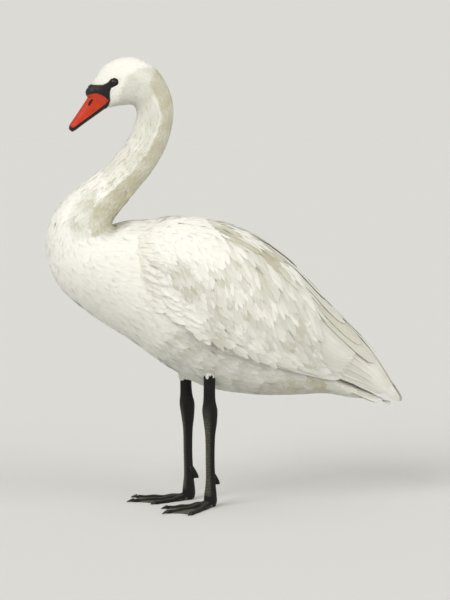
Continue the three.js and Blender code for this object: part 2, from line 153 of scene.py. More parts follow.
def newMesh(name, points, faces):
    # a smooth mesh in metres of points in millimetres; each array in faces has one number of corners
    mesh = bpy.data.meshes.new(name)
    sizes = np.concatenate([np.full(len(f), f.shape[1]) for f in faces])
    corners = np.concatenate([f.ravel() for f in faces])
    mesh.vertices.add(len(points))
    mesh.vertices.foreach_set("co", (points * mm).astype(np.float32).ravel())
    mesh.loops.add(len(corners))
    mesh.loops.foreach_set("vertex_index", corners.astype(np.int32))
    mesh.polygons.add(len(sizes))
    mesh.polygons.foreach_set("loop_start", (np.cumsum(sizes) - sizes).astype(np.int32))
    mesh.polygons.foreach_set("loop_total", sizes.astype(np.int32))
    mesh.polygons.foreach_set("use_smooth", np.ones(len(sizes), bool))
    mesh.update(calc_edges=True)
    return mesh


def setValues(mesh, values):
    # one float attribute for each entry, a number for each vertex
    for name, numbers in values.items():
        layer = mesh.attributes.new(name, "FLOAT", "POINT")
        layer.data.foreach_set("value", np.asarray(numbers, np.float32).ravel())


def addPiece(mesh, material, replaced=()):
    # a finished mesh as a visible piece on the one body, in place of the solids it dresses
    made = bpy.data.objects.new(mesh.name, mesh)
    bpy.context.scene.collection.objects.link(made)
    mesh.materials.append(material)
    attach(made, "root")
    if replaced:
        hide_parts(*replaced)
    print("made", made.name, len(mesh.polygons), "faces")


def plug(tree, socket, value):
    # links another node's output to the socket, or sets a plain value on it
    if isinstance(value, bpy.types.NodeSocket):
        tree.links.new(value, socket)
    elif socket.type == "RGBA":
        socket.default_value = (*value, 1)
    else:
        socket.default_value = value


def shaderNode(tree, kind, inputs=None, **settings):
    # a new node with its settings made and its named inputs plugged
    made = tree.nodes.new("ShaderNode" + kind)
    for name, value in settings.items():
        setattr(made, name, value)
    for name, value in (inputs or {}).items():
        plug(tree, made.inputs[name], value)
    return made


def newMaterial(name, sockets):
    # a principled shader with the given numbers on its own sockets
    material = bpy.data.materials.new(name)
    material.use_nodes = True
    shader = material.node_tree.nodes["Principled BSDF"]
    for key, value in sockets.items():
        shader.inputs[key].default_value = value
    return material, material.node_tree, shader


def attributeOf(tree, name):
    # the number that setValues gave each vertex
    return shaderNode(tree, "Attribute", attribute_name=name).outputs["Fac"]


def colourRamp(tree, value, stops):
    # colours blended between the stops, each a place from 0 to 1 and a colour
    ramp = shaderNode(tree, "ValToRGB", {"Fac": value})
    while len(ramp.color_ramp.elements) < len(stops):
        ramp.color_ramp.elements.new(0.5)
    for element, (place, colour) in zip(ramp.color_ramp.elements, stops):
        element.position = place
        element.color = (*colour, 1)
    return ramp.outputs["Color"]


def mixColour(tree, share, a, b, blend="MIX"):
    # colour a blended by share with b, or multiplied by it
    made = shaderNode(tree, "Mix", data_type="RGBA", blend_type=blend)
    for place, value in ((0, share), (6, a), (7, b)):
        plug(tree, made.inputs[place], value)
    return made.outputs[2]


def calc(tree, operation, *values):
    # one sum on numbers or on other nodes' outputs
    made = shaderNode(tree, "Math", operation=operation)
    for socket, value in zip(made.inputs, values):
        plug(tree, socket, value)
    return made.outputs[0]


def objectNoise(tree, scale, detail=3.0, roughness=0.55, stretch=None):
    # soft clouds fixed to the piece, scale of them to a metre, drawn out along an axis by a low stretch
    place = shaderNode(tree, "TexCoord").outputs["Object"]
    if stretch:
        place = shaderNode(tree, "Mapping", {"Vector": place, "Scale": stretch}).outputs[0]
    return shaderNode(tree, "TexNoise", {"Vector": place, "Scale": scale, "Detail": detail,
                                         "Roughness": roughness}).outputs["Fac"]


def bump(tree, shader, height, distance, strength=1.0):
    # the surface tilted as if raised by height times distance, in metres
    made = shaderNode(tree, "Bump", {"Height": height, "Distance": distance, "Strength": strength})
    tree.links.new(made.outputs[0], shader.inputs["Normal"])


# Feathers: darker and warmer towards the root, as painted shade where they lie under their neighbours, near
# white at the tip, with fine slanted barbs and a pale shaft.
feather = {
    "root": (0.74, 0.725, 0.66), "middle": (0.86, 0.85, 0.80), "tip": (0.91, 0.905, 0.87),
    "stops": (0.25, 0.62, 0.92),  # where root, middle and tip colour lie along the vane
    "toneShare": 0.4,             # of the middle colour in the feathers of the highest tone
    "warm": (0.97, 0.96, 0.92), "warmScale": 9.0, "warmShare": 0.8,
    "roughness": 0.8, "barbsPerMm": 1.5, "slant": 0.75, "barbHeight": 0.00007,
    "shaft": 0.0, "shaftHeight": 5.0,  # the shaft's half width in mm, 0 for none, and its height in barbs
}
fineFeather = {**feather, "barbsPerMm": 2.2, "slant": 2.6, "barbHeight": 0.00004}
flightFeather = {
    **feather, "root": (0.76, 0.75, 0.69), "tip": (0.92, 0.91, 0.87), "roughness": 0.62,
    "barbsPerMm": 0.8, "barbHeight": 0.00012, "shaft": 0.9,
}
shades = [(0.0, (1.0, 1.0, 1.0)), (0.5, (0.77, 0.775, 0.745)), (1.0, (0.60, 0.575, 0.455))]  # white to olive painted shade


def shaded(tree, colour):
    # the colour times that of the painted shade at each place
    return mixColour(tree, 1.0, colour, colourRamp(tree, attributeOf(tree, "shade"), shades), "MULTIPLY")


def featherMaterial(name, settings):
    # barbs are the sine of 2 pi barbsPerMm (run - slant |across|), and the shaft is a ridge that falls
    # evenly from the middle line to its half width
    material, tree, shader = newMaterial(name, {
        "Roughness": settings["roughness"], "Sheen Weight": 0.15, "Sheen Roughness": 0.5,
        "Specular IOR Level": 0.25})
    # painted shade at the root, where each vane lies under its neighbours, lightening to the tip
    colour = colourRamp(tree, attributeOf(tree, "rootToTip"), [
        (stop, settings[key]) for stop, key in zip(settings["stops"], ("root", "middle", "tip"))])
    tone = calc(tree, "MULTIPLY", attributeOf(tree, "tone"), settings["toneShare"])
    colour = mixColour(tree, tone, colour, settings["middle"])
    cloud = calc(tree, "MULTIPLY", objectNoise(tree, settings["warmScale"]), settings["warmShare"])
    colour = mixColour(tree, cloud, colour, settings["warm"], "MULTIPLY")
    tree.links.new(shaded(tree, colour), shader.inputs["Base Color"])
    vane = shaderNode(tree, "SeparateXYZ", {"Vector": shaderNode(tree, "UVMap", uv_map="vane").outputs[0]})
    across = calc(tree, "ABSOLUTE", vane.outputs[0])
    phase = calc(tree, "MULTIPLY_ADD", across, -settings["slant"], vane.outputs[1])
    barbs = calc(tree, "SINE", calc(tree, "MULTIPLY", phase, 2 * np.pi * settings["barbsPerMm"]))
    if settings["shaft"]:
        away = calc(tree, "MINIMUM", calc(tree, "DIVIDE", across, settings["shaft"]), 1.0)
        ridge = calc(tree, "SUBTRACT", 1.0, away)
        barbs = calc(tree, "MULTIPLY_ADD", ridge, settings["shaftHeight"], barbs)
    bump(tree, shader, barbs, settings["barbHeight"])
    return material


plumage = featherMaterial("plumage", feather)
finePlumage = featherMaterial("finePlumage", fineFeather)
flightVane = featherMaterial("flightVane", flightFeather)


def orangeHorn(tree):
    # orange-red in soft clouds, streaked along the bill
    cloud = objectNoise(tree, 130.0, 4.0)
    orange = colourRamp(tree, cloud, [(0.25, (0.42, 0.026, 0.007)), (0.75, (0.53, 0.045, 0.011))])
    streak = objectNoise(tree, 900.0, 2.0, 0.5, (0.35, 1.0, 0.35))
    return mixColour(tree, calc(tree, "MULTIPLY", streak, 0.25), orange, (0.45, 0.03, 0.01)), streak


# Down under the feathers, with their painted shade, black bare skin where the face has none, orange beside
# the bill.
skinFinish, tree, shader = newMaterial("skin", {"Specular IOR Level": 0.3})
bareShare = attributeOf(tree, "bare")
black = colourRamp(tree, objectNoise(tree, 700.0, 4.0), [
    (0.3, (0.004, 0.004, 0.005)), (0.75, (0.014, 0.013, 0.014))])
down = colourRamp(tree, objectNoise(tree, 60.0), [(0.3, (0.74, 0.725, 0.66)), (0.7, (0.84, 0.83, 0.77))])
bareColour = mixColour(tree, attributeOf(tree, "orange"), black, orangeHorn(tree)[0])
tree.links.new(mixColour(tree, bareShare, shaded(tree, down), bareColour), shader.inputs["Base Color"])
dullness = shaderNode(tree, "MapRange", {"Value": bareShare, "To Min": 0.9, "To Max": 0.42})
tree.links.new(dullness.outputs[0], shader.inputs["Roughness"])
wrinkle = objectNoise(tree, 420.0, 5.0, 0.6, (1.0, 1.0, 1.8))
bump(tree, shader, wrinkle, 0.0005, 0.7)

# Orange-red horn, black along every edge.
billFinish, tree, shader = newMaterial("billHorn", {
    "Roughness": 0.5, "Coat Weight": 0.05, "Coat Roughness": 0.25, "Specular IOR Level": 0.22})
orange, streak = orangeHorn(tree)
billColour = mixColour(tree, attributeOf(tree, "dark"), orange, (0.012, 0.011, 0.011))
tree.links.new(billColour, shader.inputs["Base Color"])
bump(tree, shader, streak, 0.00015, 0.5)

# Black horn of the nail, the knob, the lower bill and the claws.
hornFinish, tree, shader = newMaterial("blackHorn", {
    "Roughness": 0.36, "Coat Weight": 0.1, "Coat Roughness": 0.15, "Specular IOR Level": 0.35})
horn = colourRamp(tree, objectNoise(tree, 300.0, 4.0), [
    (0.3, (0.004, 0.004, 0.005)), (0.8, (0.014, 0.013, 0.013))])
tree.links.new(horn, shader.inputs["Base Color"])
bump(tree, shader, objectNoise(tree, 900.0, 4.0), 0.0002, 0.5)

# Head to rump is one skin. Each row is a flat section of the body: dorsal x and z, ventral x and z, half
# width, squareness, lean, then the depth of the coat over the skin.
bodyRows = np.array([
    [-241, 731, -211, 693, 19, 2.2, 0, 0.4],      # face
    [-216, 767, -191, 697, 28, 2.2, -0.05, 0.5],  # brow
    [-170, 780, -169, 698, 33, 2.1, -0.08, 0.7],  # crown
    [-124, 755, -162, 688, 32, 2.1, 0, 0.9],      # nape
    [-99, 701, -163, 673, 30, 2, 0, 1.1],         # neck top
    [-105, 644, -175, 644, 30, 2, 0, 1.3],        # upper neck
    [-130, 592, -209, 600, 34, 2, 0, 1.5],        # middle neck
    [-171, 541, -264, 557, 43, 2, 0, 1.7],        # lower neck
    [-203, 501, -304, 515, 57, 2, 0.05, 2.0],     # neck base
    [-203, 489, -320, 455, 82, 2.1, 0.1, 2.3],    # crop
    [-183, 496, -300, 389, 108, 2.2, 0.08, 2.6],  # breast
    [-150, 499, -246, 338, 122, 2.3, 0.05, 2.9],  # shoulders
    [-106, 500, -178, 293, 127, 2.35, 0, 3.0],    # keel
    [-51, 490, -113, 246, 128, 2.3, 0, 3.0],      # back
    [11, 456, -46, 208, 122, 2.05, 0.08, 3.0],    # belly
    [75, 392, 35, 192, 102, 2, 0.04, 3.0],        # vent
    [131, 312, 111, 189, 72, 2, 0, 2.9],          # rump
    [175, 246, 171, 190, 44, 2, 0, 2.6],          # tail root
    [219, 208, 217, 182, 32, 2, 0, 2.3],          # tail coverts
    [255, 189, 253, 179, 16, 2, 0, 1.8],          # coverts end
])
bodyEnd = 18.8


def bodyAt(t, angle):
    # a superellipse across the middle plane, its axes and middle carried along the body's rows; the
    # angle runs from the crown over the right side
    dx, dz, vx, vz, half, power, lean = np.moveaxis(along(bodyRows[:, :7], t), -1, 0)
    c, s = np.cos(angle), np.sin(angle)
    rise = np.sign(c) * np.abs(c) ** (2 / power) / 2
    out = np.sign(s) * np.abs(s) ** (2 / power) * half * (1 + lean * c)
    return np.stack([(dx + vx) / 2 + (dx - vx) * rise, out, (dz + vz) / 2 + (dz - vz) * rise], -1)


# The black bare face in side view, and the eye it runs back to.
face = {
    "outline": [(-262, 712), (-251, 726), (-243, 733), (-232, 732.5), (-223, 732.5), (-216, 736), (-211, 741),
                (-205, 744.5), (-199, 742), (-197, 736), (-199, 731), (-204, 728.5), (-209, 727), (-211, 721),
                (-211, 712), (-210, 705), (-212, 698), (-216, 691), (-232, 676), (-262, 690)],
    "rise": 0.5,          # of the bare skin over the feathered outline
    "softness": 1.6,
    "rear": -190, "foot": 670,  # no bare skin behind or below these
}
eye = {
    "x": -205.0, "y": 24.5, "z": 737.0, "radius": 6.6, "rings": 48, "around": 64,
    "bulge": (0.45, 0.42),       # how far the pupil stands out, and how widely in radians
    "iris": 56,                  # degrees from the pupil's middle to the iris's edge
    "opening": 4.9, "oval": (0.94, 1.06), "lean": (0.9, 0.44),
    "lids": (7.3, 8.2),          # where the bare lids fade into the feathers
    # distance past the opening's edge, and the skin's height over the ball there
    "lidSlope": ([-4.9, -0.6, 0, 0.5, 1.3, 2.5], [-2, -1.6, 0.6, 0.95, 0.8, 0.2]),
    "ballEnd": 6.4,              # how far out the skin follows the ball
    "foldEnd": (6.3, 9.6),       # where the lids run out into the head
    "middle": 8,                 # skin nearer the middle plane than this isn't folded
}


def eyeReach(x, z):
    # distance from the eye's axis, as an upright oval leaning back, in millimetres
    dx, dz = x - eye["x"], z - eye["z"]
    (wide, tall), (c, s) = eye["oval"], eye["lean"]
    return np.hypot(wide * (dx * c + dz * s), tall * (dz * c - dx * s))


def bareShareAt(points):
    # 1 on the bare face and its lids, 0 on feathered skin
    x, z = points[..., 0], points[..., 2]
    edge = outlineDistance(face["outline"], x, z)
    bare = 1 - ease(edge, -face["softness"] / 2, face["softness"] / 2)
    lids = 1 - ease(eyeReach(x, z), *eye["lids"])
    return np.maximum(bare, lids) * (x < face["rear"]) * (z > face["foot"])


# The painted shade in grey and olive, where the plumage lies away from the light: how deep, how soft at the
# edge in millimetres and how patchy each area is, and its outline in side view.
paintedShade = {
    "cheek": (0.50, 4, 0.3, [
        (-214, 698), (-194, 704), (-188, 729), (-181, 746), (-160, 760), (-125, 762), (-120, 730),
        (-150, 690), (-190, 690)]),
    "nape": (0.86, 4, 0.3, [
        (-146, 732), (-125, 765), (-70, 740), (-60, 650), (-90, 580), (-150, 510), (-212, 478),
        (-250, 472), (-258, 494), (-248, 520), (-220, 545), (-182, 578), (-152, 612), (-132, 645),
        (-122, 672), (-130, 705)]),
    "neckSide": (0.40, 6, 0.5, [
        (-146, 732), (-166, 712), (-172, 680), (-182, 645), (-200, 612), (-228, 585), (-222, 550),
        (-160, 600), (-120, 672)]),
    "crop": (0.55, 7, 0.5, [
        (-278, 524), (-262, 545), (-238, 552), (-245, 500), (-255, 470), (-278, 466), (-290, 495)]),
    "wing": (0.38, 5, 1.2, [
        (-32, 490), (38, 431), (139, 344), (214, 256), (285, 203), (214, 205), (104, 245), (-44, 300),
        (-52, 337), (-100, 368), (-130, 398), (-141, 434), (-104, 433), (-69, 416), (-44, 410), (-21, 427),
        (-14, 452)]),
    "belly": (0.40, 7, 0.8, [
        (-38, 325), (-77, 314), (-113, 306), (-132, 277), (-112, 235), (-70, 170), (140, 150), (330, 160),
        (330, 185), (258, 196), (164, 226), (23, 274), (-38, 303)]),
    "vent": (0.80, 5, 0.4, [(43, 216), (75, 221), (146, 221), (173, 214), (180, 190), (43, 190)]),
    "edge": (0.52, 4, 0.8, [
        (-40, 505), (-32, 490), (38, 431), (139, 344), (214, 256), (285, 203), (340, 160), (340, 260),
        (150, 430), (60, 500)]),
    "shoulder": (0.85, 3, 0.3, [
        (-40, 495), (-12, 486), (13, 472), (32, 448), (18, 447), (-8, 466), (-30, 481)]),
    "tertials": (0.90, 3, 0.3, [(26, 449), (52, 446), (84, 428), (92, 413), (90, 399), (72, 400), (52, 420)]),
    "rear": (0.90, 3, 0.3, [(117, 392), (137, 382), (150, 366), (172, 342), (156, 347), (135, 363)]),
}
# Painted highlights that stay white inside the painted shade: how nearly, how soft at the edge, and its
# outline.
highlightPatches = {
    "ridge": (0.9, 3, [(-4, 490), (31, 477), (73, 446), (52, 440), (20, 459)]),
    "quills": (0.9, 3, [(86, 420), (104, 418), (127, 397), (137, 390), (115, 376), (92, 402)]),
    "flank": (0.8, 4, [(15, 281), (42, 278), (91, 265), (130, 253), (108, 248), (42, 264)]),
    "hem": (0.7, 3, [(142, 243), (190, 231), (239, 212), (257, 201), (217, 208), (163, 226)]),
    "tip": (0.9, 4, [(222, 258), (250, 252), (266, 234), (281, 197), (256, 197)]),
}


def shadeAt(points):
    # the deepest painted shade at each place, thinned by the painted highlights, and how patchy it is
    x, z = points[..., 0], points[..., 2]
    shade, patchy = np.zeros(x.shape), np.zeros(x.shape)
    for depth, soft, rough, outline in paintedShade.values():
        here = depth * (1 - ease(outlineDistance(outline, x, z), -soft, soft))
        patchy = np.where(here > shade, rough, patchy)
        shade = np.maximum(shade, here)
    for share, soft, outline in highlightPatches.values():
        shade = shade * (1 - share * (1 - ease(outlineDistance(outline, x, z), -soft, soft)))
    return shade, patchy


# The legs' places, how low their feathers come, and how far the toes turn out.
legs = {
    "left": {"side": -1, "knee": -45, "hock": -43, "ankle": -40, "feathers": 239, "toeOut": 36},
    "right": {"side": 1, "knee": -67, "hock": -66, "ankle": -65, "feathers": 219, "toeOut": -6},
}
stance = {"hip": 62, "hock": 53, "ankle": 41, "hockHeight": 164, "ankleHeight": 21}


def thighRows(leg):
    # x, y, z, fore-and-aft and sideways radius, from inside the body down to the feathers' lower edge
    y, knee, low = leg["side"] * stance["hip"], leg["knee"], leg["feathers"]
    return np.array([[knee + 4, y, low + 52, 42, 33], [knee + 2, y, low + 32, 29, 24],
                     [knee + 1, y, low + 18, 19, 17], [knee, y, low + 8, 14, 13]], float)


def limbAt(rows, t, angle):
    # a level ellipse at each height
    x, y, z, rx, ry = np.moveaxis(along(rows, t), -1, 0)
    return np.stack([x + rx * np.cos(angle), y + ry * np.sin(angle), z + 0 * angle], -1)


# The bill's own sizes: the skin closes on its base, and the orange runs a little way on to the skin.
bill = {
    "root": (-226, 0, 712), "forward": (-0.681, 0, -0.732), "up": (-0.732, 0, 0.681),
    # distance from the face, culmen, mouth, underside, half width
    "rows": [[2, 20, -15.5, -22.5, 18], [16, 14.5, -13.5, -19.5, 15.5], [32, 11.6, -10.6, -16.2, 13.4],
             [48, 9, -7.4, -12.8, 12.6], [62, 7, -4.6, -9.8, 12.4], [71, 5.4, -3, -8.2, 10.4],
             [77, 1.6, -2.4, -5.6, 4.6]],
    "curves": (0.8, 0.9),                   # powers of sine and cosine across and up each section
    # the lip: how far out, how high over the mouth, the least share across at which it stands, and its end
    "lip": (0.5, 1.2, 0.3), "lipEnd": (66, 74),
    "nail": 5.15, "seam": 0.03,             # in rows: where the nail starts, and half the gap there
    "nailRise": 0.3,                        # of the nail over the rest of the bill
    "nostril": [(14.5, 7.0), (23.5, 5.0)],  # its two ends, along and above the bill's own axis
    # how deep it is as a share of the width and how far round its axis, its rim likewise, its inside painted
    # black as the hole's shade
    "nostrilIn": (0.24, 2.3), "nostrilRim": (0.035, 3.6), "nostrilShade": 2.2,
    "palate": (0.98, 0.4),                  # its share of the width, and its hollow
    "lower": (1, 0.4),                      # how much narrower to each side, and how far below the mouth line
    "groove": (1.6, 0.35), "grooveEnd": (40, 66),  # its depth, its width as a share, and where it ends
    "rings": {"upper": 190, "nail": 24, "lower": 80}, "around": {"upper": 113, "lower": 49},
    # the orange in side view, the softness of its edge, where it starts over the mouth, and its rear limit
    "orangeEdge": 0.8, "orangeOver": (0.9, 1.9), "orangeRear": -200,
    "orange": [(-249, 711), (-244.5, 714.2), (-240, 716.8), (-234.5, 718), (-227, 715.8), (-220, 712),
               (-214.5, 706.8), (-212.5, 703.5), (-214, 699.5), (-218.5, 695.8), (-225, 691.5), (-273, 658.5),
               (-278, 657), (-290, 668), (-262, 712)],
}


def billFrame(u, y, v):
    # from the root, u forward along the bill, v up from its axis and y across
    root, forward, up = (np.array(bill[k], float) for k in ("root", "forward", "up"))
    u, y, v = np.broadcast_arrays(u, y, v)
    return root + u[..., None] * forward + v[..., None] * up + y[..., None] * np.array([0, 1.0, 0])


def lipOut(above, across):
    # a round ridge over the mouth line, out e^-(above - middle)^2, at both sides but not in between
    out, middle, inner = bill["lip"]
    return np.sign(across) * out * np.exp(-(above - middle) ** 2) * (np.abs(across) > inner)


def billRing(u, angle, grow):
    # section of the whole bill: half the width times sin^0.8 across, and cos^0.9 of the way from the mouth
    # line to the culmen or the underside
    wide, high = bill["curves"]
    place = np.interp(u, [row[0] for row in bill["rows"]], range(len(bill["rows"])))
    _, culmen, mouth, under, half = along(bill["rows"], np.array(place))
    c, s = np.cos(angle), np.sin(angle)
    y = np.sign(s) * np.abs(s) ** wide * (half + grow)
    tall = np.where(c > 0, culmen - mouth, mouth - under) + grow
    above = tall * np.sign(c) * np.abs(c) ** high
    return billFrame(np.array(float(u)), y + lipOut(above, s), mouth + above)


def billPlace(points):
    # how far along the bill and how high above its mouth line each point lies
    rel = points - np.array(bill["root"])
    u, v = rel @ np.array(bill["forward"]), rel @ np.array(bill["up"])
    rows = np.array(bill["rows"])
    return u, v, v - np.interp(u, rows[:, 0], rows[:, 2])


def orangeShareAt(points):
    # 1 inside the orange in side view and above the black lip, fading over its edge
    edge = outlineDistance(bill["orange"], points[..., 0], points[..., 2])
    inside = 1 - ease(edge, -bill["orangeEdge"], bill["orangeEdge"])
    return inside * ease(billPlace(points)[2], *bill["orangeOver"])


# The knob over the bill's base, and how high and how far the skin round it is drawn out from the head's
# middle.
knob = {"centre": (-240, 0, 719.4), "ahead": 10.6, "behind": 26, "radii": (9.9, 10.4), "pitch": 0.12,
        "flare": 0.9, "drawn": 4.0, "reach": 7.0, "headMiddle": (-205, 0, 722), "rings": 64, "around": 72,
        "lumps": [(0.016, 5, 2), (0.012, 9, -3)]}  # height as a share, waves along and waves round


def drawnToKnob(rings):
    # moved out from the head by drawn (1 - gap / reach)^2, where gap is the distance to the knob's surface
    off = rings - np.array(knob["centre"], float)
    radii = np.array([knob["ahead"], *knob["radii"]])
    share = np.linalg.norm(off / radii, axis=-1)
    gap = np.linalg.norm(off, axis=-1) * (1 - 1 / np.maximum(share, 1))
    normal = unit(np.cross(np.gradient(rings, axis=0), np.roll(rings, -1, 1) - np.roll(rings, 1, 1)))
    normal *= np.sign((normal * (rings - np.array(knob["headMiddle"], float))).sum(-1, keepdims=True))
    near = np.clip(1 - gap / knob["reach"], 0, 1)[..., None]
    return rings + normal * knob["drawn"] * near ** 2


skinSettings = {
    "rings": 360, "around": 240,
    # where the eye lies, over what width the rings and their points close up to it, and by how much
    "eyeRings": (0.85, 0.6, 10), "eyeAround": (1.32, 0.28, 6),
    # distance from the leg's middle, and height of the feathers over their lower edge
    "thighSlope": ([0, 12, 22, 35, 47], [0, 3, 14, 35, 62]), "thighDepth": 12, "thighSoftness": 4,
    "thighStations": (9, 16), "thighReach": 60, "thighShift": 3, "thighNarrower": 1.28,
    # the collar over the bill's base: share of the bill's own section, place along the bill, rise over it
    "collar": [(1, 10.5, -1.2), (1, 10, -0.3), (1, 8.6, 0.25), (0.95, 7.2, 0.5), (0.8, 5.8, 0.8),
               (0.55, 4.4, 0.9), (0.25, 3.2, 0.7)],
    "collarRings": 30,
}


def foldedLids(rings):
    # near the eye the skin lies a lid's height over the ball, sqrt(radius^2 - reach^2), and dips under it
    # inside the opening
    past, rise = eye["lidSlope"]
    reach = eyeReach(rings[..., 0], rings[..., 2])
    ball = eye["y"] + np.sqrt(eye["radius"] ** 2 - np.minimum(reach, eye["ballEnd"]) ** 2)
    lift = np.interp(reach, np.array(past) + eye["opening"], rise)
    for side in (-1, 1):
        fold = mix(side * (ball + lift), rings[..., 1], ease(reach, *eye["foldEnd"]))
        rings[..., 1] = np.where(rings[..., 1] * side > eye["middle"], fold, rings[..., 1])
    return rings


def drawnToThighs(rings, normal, t):
    # the underside drawn down to the thigh's slope, low - softness ln(1 + e^-(gap / softness)), where gap
    # is the skin's height over the slope
    s, (first, last) = skinSettings, skinSettings["thighStations"]
    under = (normal[..., 2] < 0.1) & (t > first) & (t < last)
    for leg in legs.values():
        x, y = leg["knee"] + s["thighShift"], leg["side"] * stance["hip"]
        away = np.hypot(rings[..., 0] - x, s["thighNarrower"] * (rings[..., 1] - y))
        distance, height = s["thighSlope"]
        low = np.interp(away, distance, np.array(height) + leg["feathers"] + s["thighDepth"])
        gap = np.clip(rings[..., 2] - low, -200, 200) / s["thighSoftness"]
        drawn = low - s["thighSoftness"] * np.log1p(np.exp(-gap))
        near = under & (away < s["thighReach"])
        rings[..., 2] = np.where(near, np.minimum(rings[..., 2], drawn), rings[..., 2])
    return rings


def shapeSkin():
    # the body less the coat's depth; raised on the bare face; turned over the eyeball as lids; drawn down
    # to the thighs, and drawn in over the bill's base at the front
    s = skinSettings
    (eyeT, wideT, closeT), (right, wide, close) = s["eyeRings"], s["eyeAround"]
    t = crowded(0, bodyEnd, s["rings"], [eyeT], wideT, closeT)
    angle = crowded(0, 2 * np.pi, s["around"] + 1, [right, 2 * np.pi - right], wide, close)[:-1]
    t, angle = np.meshgrid(t, angle, indexing="ij")
    base, _, _, normal = surfaceFrame(bodyAt, t, angle)
    depth = along(bodyRows[:, 7:], t)[..., 0]
    rings = base + normal * mix(-depth, face["rise"], bareShareAt(base))[..., None]
    rings = drawnToThighs(foldedLids(rings), normal, t)
    steps = along(s["collar"], np.linspace(0, len(s["collar"]) - 1, s["collarRings"]))
    collar = [mix(rings[0], billRing(u, angle[0], grow), share) for share, u, grow in steps]
    rings = np.concatenate([collar, rings])
    points, faces = closedTube(drawnToKnob(rings))
    return points, outward(points, faces), closedTube(rings)[0]


points, faces, undrawn = shapeSkin()
mesh = newMesh("skin", points, faces)
setValues(mesh, {"bare": bareShareAt(undrawn), "shade": shadeAt(points)[0],
                 "orange": orangeShareAt(undrawn) * (points[:, 0] < bill["orangeRear"])})
fleshNodes = ["head", "neck_upper", "neck_middle", "neck_lower", "breast", "trunk", "rump",
              "thigh_left", "thigh_right", "lore_left", "lore_right"]
addPiece(mesh, skinFinish, fleshNodes)

# The eyes: dark brown round a black pupil, and wet.
eyeFinish, tree, shader = newMaterial("eye", {
    "Roughness": 0.06, "Coat Weight": 0.25, "Coat Roughness": 0.02, "Specular IOR Level": 0.3})
iris = colourRamp(tree, attributeOf(tree, "fromPupil"), [
    (0.0, (0.002, 0.002, 0.002)), (0.46, (0.002, 0.002, 0.002)), (0.52, (0.016, 0.010, 0.007)),
    (0.80, (0.009, 0.006, 0.005)), (0.92, (0.003, 0.003, 0.003))])
tree.links.new(iris, shader.inputs["Base Color"])


def shapeEye(side):
    # a ball with its pole pointing out sideways, drawn out over the pupil by bulge e^-(turn / width)^2;
    # and the turn from the pole at each point, as a share of the iris
    out, width = eye["bulge"]
    turn = np.linspace(0.02, np.pi - 0.02, eye["rings"])[:, None]
    around = np.linspace(0, 2 * np.pi, eye["around"], endpoint=False)[None]
    r = eye["radius"] + out * np.exp(-(turn / width) ** 2)
    ring = np.stack([r * np.sin(turn) * np.cos(around), side * r * np.cos(turn) + 0 * around,
                     r * np.sin(turn) * np.sin(around)], -1)
    points, faces = closedTube(ring + np.array([eye["x"], side * eye["y"], eye["z"]]))
    turns = np.concatenate([np.repeat(turn.ravel(), eye["around"]), [0, np.pi]])
    return points, outward(points, faces), np.degrees(turns) / eye["iris"]


for name, side in (("left", -1), ("right", 1)):
    points, faces, away = shapeEye(side)
    mesh = newMesh("eye" + name.title(), points, faces)
    setValues(mesh, {"fromPupil": away})
    addPiece(mesh, eyeFinish, ["eye_" + name])

# The bill's pieces: the upper one with its nostrils, the nail, the lower one and the knob.

def nostrilShare(u, v, wide):
    # 1 inside an oval round the middle of the nostril, falling to 0 over its rim
    (u0, v0), (u1, v1) = bill["nostril"]
    reach = np.hypot(u1 - u0, v1 - v0)
    du, dv = u - (u0 + u1) / 2, v - (v0 + v1) / 2
    run, off = (du * (u1 - u0) + dv * (v1 - v0)) / reach, (dv * (u1 - u0) - du * (v1 - v0)) / reach
    away = np.hypot(run / (reach / 2 + wide), off / wide)
    return 1 - ease(away, 0.72, 1.12)


def shapeUpperBill(start, end, rings, grow):
    # half-round sections over the mouth line, cos^0.8 across and sin^0.9 up; nostrils pressed in between
    # low rims, a lip along the mouth, and a palate a little hollow below
    wide, high = bill["curves"]
    t = np.linspace(start, end, rings)[:, None]
    angle = np.linspace(0, np.pi, bill["around"]["upper"])[None]
    u, culmen, mouth, _, half = np.moveaxis(along(bill["rows"], t), -1, 0)
    c, s = np.cos(angle), np.sin(angle)
    y = np.sign(c) * np.abs(c) ** wide * (half + grow)
    v = mouth + (culmen + grow - mouth) * s ** high
    (deep, hole), (out, rim) = bill["nostrilIn"], bill["nostrilRim"]
    y = y * (1 - deep * nostrilShare(u, v, hole) + out * nostrilShare(u, v, rim))
    y = y + lipOut(v - mouth, c) * (1 - ease(u, *bill["lipEnd"]))
    across, (share, hollow) = np.linspace(-1, 1, 9)[1:-1][None], bill["palate"]
    palate = billFrame(u, across * (half + grow) * share, mouth + hollow * (1 - across ** 2))
    return np.concatenate([billFrame(u, y, v), palate], 1)


def shapeLowerBill(rings):
    # the same section turned over, narrower, with a groove between its two rami: depth e^-(y / width)^2
    (wide, high), (narrower, below), (depth, width) = bill["curves"], bill["lower"], bill["groove"]
    t = np.linspace(0, len(bill["rows"]) - 1, rings)[:, None]
    angle = np.linspace(0, np.pi, bill["around"]["lower"])[None]
    u, _, mouth, under, half = np.moveaxis(along(bill["rows"], t), -1, 0)
    c, s = np.cos(angle), np.sin(angle)
    y = np.sign(c) * np.abs(c) ** wide * (half - narrower)
    groove = depth * np.exp(-(y / (width * half)) ** 2) * (1 - ease(u, *bill["grooveEnd"]))
    v = mouth - below + (under - mouth + below) * s ** high + groove
    across = np.linspace(-1, 1, 7)[1:-1][None]
    return np.concatenate([billFrame(u, y, v), billFrame(u, across * (half - narrower), mouth - below)], 1)


points, faces = closedTube(shapeUpperBill(0, bill["nail"] - bill["seam"], bill["rings"]["upper"], 0))
u, v, _ = billPlace(points)
# the nostrils' insides painted black, as the shade in the holes
nostrils = nostrilShare(u, v, bill["nostrilShade"]) * (np.abs(points[:, 1]) > 2)
mesh = newMesh("billUpper", points, outward(points, faces))
setValues(mesh, {"dark": np.maximum(1 - orangeShareAt(points), nostrils)})
addPiece(mesh, billFinish, ["bill_upper"])


